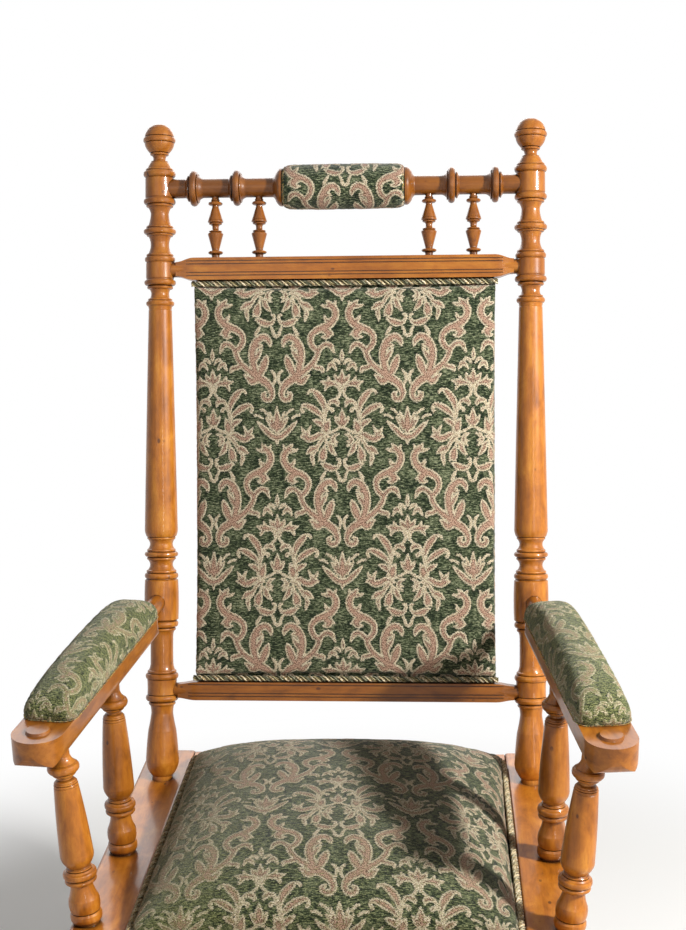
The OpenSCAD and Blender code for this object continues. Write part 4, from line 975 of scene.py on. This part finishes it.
CORD_PITCH = 17
YARN_R = 3.7
# Loose yarn ends for each hop along an arm pad's rim, and for each end of the roll
PAD_YARNS, ROLL_YARNS = 5, 420


def twisted_cord(name, line, closed, matrix, node, material):
    """Three strands of twisted yarn along a line."""
    sides = 24
    points, faces = tube(line, YARN_R, sides, closed, 3, CORD_PITCH)
    obj = new_piece(name, placed(points, matrix), faces, material)
    k = np.tile(np.arange(sides), len(line))
    along = np.repeat(np.arange(len(line)), sides)
    store(obj, "strand", k // (sides // 3))
    store(obj, "turned", along * .5 + k * math.pi / 2)
    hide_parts(node)


def straight(start, end, step):
    """Points from start to end, about a step apart."""
    count = max(2, int(np.linalg.norm(np.subtract(end, start)) / step) + 1)
    return np.linspace(start, end, count)


def panel_cord(edge, at):
    """A cord along the panel's top or bottom, which reaches a little past its sides."""
    reach = PANEL_W / 2 + CORD_R - 1.2
    line = straight((-reach, 0, 0), (reach, 0, 0), .8)
    matrix = BACK_PLANE @ shift(0, -CORD_R - GAP, at)
    twisted_cord("cord_back_" + edge, line, False, matrix, "back_piping_" + edge, CORD)


def seat_cord():
    """A cord round the seat cushion, closed on itself, with rounded corners."""
    radius, bits = 16, 24
    inset = SEAT_TUCK - YARN_R + .6
    half_x, half_y = HALF_OPEN - inset - radius, OPEN_HALF_Y - inset - radius
    corners = [(1, -1), (1, 1), (-1, 1), (-1, -1)]

    def spot(quarter, degrees):
        (sx, sy), a = corners[quarter % 4], math.radians(degrees)
        return sx * half_x + radius * math.cos(a), sy * half_y + radius * math.sin(a), 0

    line = []
    for quarter in range(4):
        end = 90 * quarter
        line += [spot(quarter, end - 90 + 90 * i / bits) for i in range(bits)]
        line += [tuple(p) for p in straight(spot(quarter, end), spot(quarter + 1, end), 1)[:-1]]
    twisted_cord("cord_seat", line, True, SEAT_PLANE @ shift(0, 0, YARN_R + .1), "seat_piping", SEAT_CORD)


def frayed(name, matrix, roots, out, along, length, seed):
    """Short loose yarn ends that stand out of a seam."""
    rng = np.random.default_rng(seed)
    turned = np.array(matrix)[:3, :3].T
    parts, which = [], []
    for root, normal, way in zip(placed(roots, matrix), np.array(out) @ turned, np.array(along) @ turned):
        reach = length * (.4 + .8 * rng.random())
        lean = way * (rng.random() - .5) * 1.6
        tip = root + (normal * .75 + lean) * reach
        bend = root + (normal * .9 + lean * .3) * reach * .5
        parts.append(tube([root - normal * .6, bend, tip], .32, 5))
        which += [rng.random()] * len(parts[-1][0])
    points, faces = merged(parts)
    obj = new_piece(name, points, faces, FRAY)
    store(obj, "strand", which)


def pad_fray(side, name):
    """Yarn ends round the foot of an arm pad."""
    rng = np.random.default_rng(40 + side)
    pad = Pad(18, 76, PAD_W / 2, PAD_LEN / 2, .3)
    rim = flat_vectors(*pad.spots(0, 0, PAD_CORNER, 0))[pad.rim]
    roots, out, along = [], [], []
    for a, b in zip(rim, np.roll(rim, -1, 0)):
        hop = np.linalg.norm(b - a)
        if hop < .01:
            continue
        run = (b - a) / hop
        away = np.array([run[1], -run[0], 0])
        for _ in range(PAD_YARNS):
            roots.append(a + (b - a) * rng.random() + away * .2 + np.array([0, 0, .5]))
            out.append(away * .8 + np.array([0, 0, .12 + .2 * rng.random()]))
            along.append(run)
    frayed("fray_arm_" + name, pad_plane(side), roots, out, along, 1.8, 50 + side)


def roll_fray():
    """Yarn ends at both ends of the head roll."""
    rng = np.random.default_rng(60)
    roots, out, along = [], [], []
    for end in (-1, 1):
        for _ in range(ROLL_YARNS):
            a = rng.random() * 2 * math.pi
            ring = np.array([0, -math.cos(a), math.sin(a)])
            depth = rng.random() * 2.5
            roots.append(ring * (ROLL_R - 6.4 + depth) + np.array([end * (ROLL_LEN / 2 - depth * .8), 0, 0]))
            out.append(ring * .8 + np.array([-end * .5, 0, 0]))
            along.append(np.cross(ring, [1, 0, 0]))
    frayed("fray_roll", BACK_PLANE @ shift(0, 0, CREST_AT), roots, out, along, 2.6, 61)


def strip(origin, along, across, out, lift, thick=1.2):
    """A thin piece of cloth. lift(s, t) is how far it stands off, in millimetres."""
    origin, along, across, out = [np.array(v, float) for v in (origin, along, across, out)]
    length, width = np.linalg.norm(along), np.linalg.norm(across)
    n, m = max(2, int(length / 5)), max(2, int(width / 5))
    s, t = [g.ravel() for g in np.meshgrid(np.linspace(0, 1, n + 1), np.linspace(0, 1, m + 1))]
    face = origin + s[:, None] * along + t[:, None] * across
    lifted = face + out * lift(s * length, t * width)[:, None]
    count = len(face)
    faces = net(m + 1, n + 1)
    faces += [tuple(reversed(f)) for f in net(m + 1, n + 1, start=count)]
    rim = border(m + 1, n + 1)
    faces += band(rim, [count + k for k in rim])
    if np.cross(along, across) @ out < 0:
        faces = [tuple(reversed(f)) for f in faces]
    return np.vstack([lifted + out * thick, lifted]), faces, flat_vectors(s * length, t * width)


def joined(name, strips, material, node):
    """Strips as one piece, which stands for a node."""
    points, faces = merged([(points, faces) for points, faces, _ in strips])
    obj = new_piece(name, points, faces, material)
    store(obj, "cloth", np.vstack([flat for _, _, flat in strips for _ in range(2)]))
    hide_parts(node)
    return obj


def from_edge(s, t, length, width):
    """How far inside the edge a place on a sheet is."""
    return np.minimum(np.minimum(s, length - s), np.minimum(t, width - t))


def up_the_back(left, depth, width, lift, thick=1.2):
    """A strip behind the back cushion, from rail to rail."""
    corner = placed([(left, depth, PANEL_LO - BACK_LAP)], BACK_PLANE)[0]
    return strip(corner, BACK_UP * BACK_LEN, BACK_RIGHT * width, BEHIND, lift, thick)


def back_straps():
    """Upright webbing behind the back cushion."""
    strips = [up_the_back(share * PANEL_W / 2 - STRAP_W / 2, BACK_FACE + .02, STRAP_W,
                          lambda s, t, k=k: .12 + .1 * np.sin(s / 31 + k))
              for k, share in enumerate((-.76, -.38, 0, .38, .76))]
    joined("straps_back", strips, JUTE, "back_webbing")


def back_lining():
    """The cloth over the straps, drawn smooth between its tacks."""
    width, length = PANEL_W - 4, BACK_LEN
    tacks = 2 * math.pi / 28

    def lift(s, t):
        edge = from_edge(s, t, length, width)
        loose = 1 - np.exp(-np.maximum(edge - 6, 0) / 25)
        tug = np.exp(-edge / 12) * (.25 + .25 * np.sin(s * tacks) * np.sin(t * tacks))
        return loose * (.9 + .8 * wander(s / 90, t / 90, 3)) + tug

    lining = up_the_back(-width / 2, BACK_FACE + STRAP_T + .05, width, lift, 1)
    obj = joined("lining_back", [lining], LINING, "back_lining")


def seat_straps():
    """Webbing across the seat, and under it the straps along."""
    strips = []

    def strap(k, middle, along, across, level):
        corner = np.subtract(middle, np.add(along, across) / 2)
        strips.append(strip([corner[0], corner[1], SEAT_UNDER - level - .1], along, across, (0, 0, -1),
                            lambda s, t: .05 * np.sin(s / 30 + k) + .05))

    wide, deep = 2 * (HALF_OPEN + 12), 2 * (OPEN_HALF_Y + 12)
    for k, share in enumerate((-.8, -.4, 0, .4, .8)):
        strap(k, (0, OPEN_MID_Y + share * OPEN_HALF_Y, 0), (wide, 0, 0), (0, STRAP_W, 0), 0)
    for k, share in enumerate((-.5, 0, .5)):
        strap(k, (share * HALF_OPEN, OPEN_MID_Y, 0), (0, deep, 0), (STRAP_W, 0, 0), STRAP_T)
    joined("straps_seat", strips, JUTE, "seat_webbing")


def dust_cover():
    """The thin cloth tacked under the seat."""
    lap = 6
    width, length = 2 * (HALF_OPEN + lap), 2 * (OPEN_HALF_Y + lap)
    corner = (-width / 2, OPEN_MID_Y - length / 2, SEAT_UNDER - 2 * STRAP_T - .1)

    def lift(s, t):
        edge = from_edge(s, t, width, length)
        sag = 1 - np.exp(-np.maximum(edge - 4, 0) / 70)
        return sag * (5 + 1.5 * wander(s / 110, t / 120, 9)) + .3 * np.exp(-edge / 15) * np.sin((s + t) / 5)

    cover = strip(corner, (width, 0, 0), (0, length, 0), (0, 0, -1), lift, 1)
    obj = joined("dust_cover", [cover], CAMBRIC, "seat_dust_cover")


def tack_row(name, spots, out, radius):
    """Domed tack heads. out is the way they face."""
    out = np.array(out, float)
    side = np.cross(out, [.3, .5, .8])
    side /= np.linalg.norm(side)
    up = np.cross(out, side)
    sides, rings = 10, 3
    rise = radius / 2
    b = 2 * math.pi * np.arange(sides)[:, None] / sides
    circle = side * np.cos(b) + up * np.sin(b)
    levels = [math.pi / 2 * ring / rings for ring in range(rings)]
    dome = [circle * radius * math.cos(a) + out * rise * math.sin(a) for a in levels]
    dome = np.vstack(dome + [out * rise])
    faces = net(rings, sides, columns_close=True)
    last, tip = (rings - 1) * sides, rings * sides
    faces += [(last + k, last + (k + 1) % sides, tip) for k in range(sides)]
    faces.append(tuple(range(sides - 1, -1, -1)))
    points, faces = merged([(np.asarray(spot) + dome, faces) for spot in spots])
    new_piece(name, points, faces, BLACK_IRON)


def lining_tacks():
    """Tacks along the lining's top and bottom."""
    width, lo, hi = PANEL_W / 2 - 8, PANEL_LO - 7, PANEL_HI + 7
    depth = BACK_FACE + STRAP_T + 1.15
    spots = [(x, depth, z) for z in (lo, hi) for x in np.linspace(-width, width, 17)]
    tack_row("tacks_back", placed(spots, BACK_PLANE), BEHIND, 2.6)


def dust_tacks():
    """Tacks round the dust cover."""
    width, length = HALF_OPEN + 2, OPEN_HALF_Y + 2
    z = SEAT_UNDER - 2 * STRAP_T - 1.2
    ends = [(x, end * length) for end in (-1, 1) for x in np.linspace(-width, width, 15)]
    sides = [(end * width, y) for end in (-1, 1) for y in np.linspace(-length, length, 17)[1:-1]]
    tack_row("tacks_seat", [(x, OPEN_MID_Y + y, z) for x, y in ends + sides], (0, 0, -1), 2.4)


def rocker_spring(side, end, name):
    """A compression spring. Its ends are closed for most of a turn."""
    turns, closed, steps, first = 6.4, .95, 40, .6
    r = SPRING_R - WIRE_D / 2
    x, y = side * SPRING_X, PIVOT_Y + end * SPRING_OFF
    low, high = SPRING_FOOT_Z + WIRE_D / 2, SPRING_FOOT_Z + SPRING_H - WIRE_D / 2
    flat = WIRE_D * 1.03 * closed
    t = np.linspace(0, turns, int(turns * steps))
    a = 2 * math.pi * t * side + first
    z = np.interp(t, [0, closed, turns - closed, turns], [low, low + flat, high - flat, high])
    points, faces = tube(np.column_stack([x + r * np.cos(a), y + r * np.sin(a), z]), WIRE_D / 2, 12)
    obj = new_piece("coil_" + name, points, faces, SPRING_STEEL, body=None)
    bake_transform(obj)
    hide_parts("rocker_spring_" + name)


# Floor, light and camera
# Where the floor begins to turn white, and where it is plain white, in metres from the middle
FADE_FROM, FADE_TO = .75, 1.25


def floor():
    """A pale floor that turns to plain white away from the chair."""
    r = 60
    obj = linked("floor", mesh_of("floor", [(-r, -r, 0), (r, -r, 0), (r, r, 0), (-r, r, 0)], [(0, 1, 2, 3)]))
    s = Shader("floor_white", Roughness=.9, Specular_IOR_Level=.1)
    far = s.add("VectorMath", {0: s.object_place()}, operation="LENGTH").outputs["Value"]
    s.set(s.surface.inputs["Base Color"], rgb(240, 239, 236))
    light = s.add("Emission", {"Color": (1, 1, 1, 1), "Strength": 1.0})
    faded = s.times(s.step(far, FADE_FROM, FADE_TO), s.seen_directly())
    s.show_mix(faded, s.surface, light, "Material Output")
    obj.data.materials.append(s.material)


# Each lamp's place in metres, power in watts, width and height
LAMPS = {
    "key": ((1.6, -.74, 1.68), 63, .16, .16),
    "strip": ((1.1, -2.5, 1.25), 10, .09, 1.3),
    "fill": ((-1.1, -2.8, 2.2), 10, 1.8, 1.8),
    "rear": ((-.3, 2.6, 1.9), 34, 2.8, 1.4),
}
LAMPS_AIM = Vector((0, 0, .75))
SKY_COLOUR, SKY_LIGHT = (1, .98, .96, 1), .15


def area_light(name, place, power, width, tall):
    data = bpy.data.lights.new(name, "AREA")
    data.shape, data.size, data.size_y, data.energy = "RECTANGLE", width, tall, power
    obj = linked(name, data)
    obj.location = place
    obj.rotation_euler = (LAMPS_AIM - Vector(place)).to_track_quat("-Z", "Y").to_euler()


def lights():
    """Four lamps, and a weak sky that looks white."""
    world = bpy.data.worlds.new("white")
    bpy.context.scene.world = world
    world.use_nodes = True
    s = Nodes(world.node_tree)
    white = s.tree.nodes["Background"]
    s.set(white.inputs["Color"], (1, 1, 1, 1))
    s.set(white.inputs["Strength"], 1)
    soft = s.add("Background", {"Color": SKY_COLOUR, "Strength": SKY_LIGHT})
    s.show_mix(s.seen_directly(), soft, white, "World Output")
    for name, lamp in LAMPS.items():
        area_light(name, *lamp)


# The camera that the photograph was taken with, found from the frame's known lines
IMAGE_W, IMAGE_H = 686, 930
FOCAL_PX = 1523
MIDDLE_PX, MIDDLE_PY = 337, 478
CAMERA_AT = (.109, -1.5882, 1.154)
YAW, PITCH, ROLL = 3.76, 13.11, -.97
SENSOR = 36


def camera():
    """The photograph's own view."""
    data = bpy.data.cameras.new("camera")
    data.sensor_width = SENSOR
    data.lens = FOCAL_PX * SENSOR / IMAGE_H
    data.shift_x = (IMAGE_W / 2 - MIDDLE_PX) / IMAGE_H
    data.shift_y = (MIDDLE_PY - IMAGE_H / 2) / IMAGE_H
    data.clip_end = 200
    obj = linked("camera", data)
    bpy.context.scene.camera = obj
    obj.matrix_world = shift(*CAMERA_AT) @ turn("Z", YAW) @ turn("X", 90 - PITCH) @ turn("Z", ROLL)


def both(name):
    return [name + "_left", name + "_right"]


# Dark, middle and light tones of the wood
HONEY = ((112, 58, 8), (176, 104, 26), (210, 140, 48))
BROWNER = ((98, 50, 6), (158, 92, 20), (192, 122, 38))
REDDER = ((84, 44, 6), (142, 82, 20), (170, 106, 34))
# The turn that brings each piece's grain to Z
UPRIGHT, LEANING, ACROSS, ALONG = (0, 0, 0), (RAKE, 0, 0), (0, -90, 0), (90, 0, 0)
WOODEN = [
    (both("back_post"), LEANING, HONEY),
    (["gallery_spindle_%d" % k for k in (1, 2, 3, 4)], LEANING, BROWNER),
    (["crest_rail"], ACROSS, REDDER),
    (["back_upper_rail"], ACROSS, HONEY),
    (["back_lower_rail"], ACROSS, REDDER),
    (["arm_left"], (90 - ARM_FALL, -ARM_SPLAY, 0), BROWNER),
    (["arm_right"], (90 - ARM_FALL, ARM_SPLAY, 0), BROWNER),
    (both("arm_spindle_rear"), UPRIGHT, BROWNER),
    (both("arm_spindle_front"), UPRIGHT, HONEY),
    (both("seat_board"), ALONG, HONEY),
    (["seat_front_rail", "seat_rear_rail"], ACROSS, HONEY),
    (both("seat_leg_front") + both("seat_leg_rear"), UPRIGHT, HONEY),
    (both("rocker"), ALONG, HONEY),
    (["rocker_stretcher_front", "rocker_stretcher_rear"], ACROSS, HONEY),
    (both("base_rail"), ALONG, HONEY),
    (["base_stretcher_front", "base_stretcher_rear"], ACROSS, HONEY),
    (both("base_foot_front") + both("base_foot_rear"), UPRIGHT, HONEY),
]
IRON_NODES = both("rocker_bracket") + both("base_bracket")
STEEL_NODES = both("pivot_pin") + ["rocker_bracket_screws", "base_bracket_screws", "seat_springs"]


def finish_node(node, material):
    """Gives a CAD node its material."""
    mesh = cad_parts[node].data
    mesh.materials.clear()
    mesh.materials.append(material)


def dress_frame():
    """Gives the wooden and metal nodes their materials."""
    seed = 1
    for nodes, grain, tones in WOODEN:
        for node in nodes:
            finish_node(node, wood("wood_" + node, grain, seed, tones))
            seed += 1
    for node in IRON_NODES:
        finish_node(node, BLACK_IRON)
    for node in STEEL_NODES:
        finish_node(node, SPRING_STEEL)


camera()
lights()
floor()
CORD = twisted("cord_yarn", .08)
SEAT_CORD = twisted("seat_cord_yarn", .5)
FRAY = thread("fray_yarn", (206, 186, 96), (176, 112, 60), (196, 182, 140), (96, 108, 72))
JUTE = woven("jute", (186, 160, 112), (112, 88, 52), 2.2)
LINING = woven("lining_cloth", (84, 92, 66), (44, 52, 38), 1.1)
CAMBRIC = woven("dust_cloth", (72, 68, 62), (34, 32, 30), .9)
BLACK_IRON = iron("japanned_iron")
SPRING_STEEL = steel("dark_steel")
dress_frame()
back_cushion()
seat_cushion()
arm_pad(-1, "left")
arm_pad(1, "right")
headrest_roll()
panel_cord("top", PANEL_HI - CORD_R)
panel_cord("bottom", PANEL_LO + CORD_R)
seat_cord()
pad_fray(-1, "left")
pad_fray(1, "right")
roll_fray()
back_straps()
back_lining()
lining_tacks()
seat_straps()
dust_cover()
dust_tacks()
for end, end_name in ((-1, "front_"), (1, "rear_")):
    rocker_spring(-1, end, end_name + "left")
    rocker_spring(1, end, end_name + "right")
bpy.context.scene.view_settings.view_transform = "Standard"
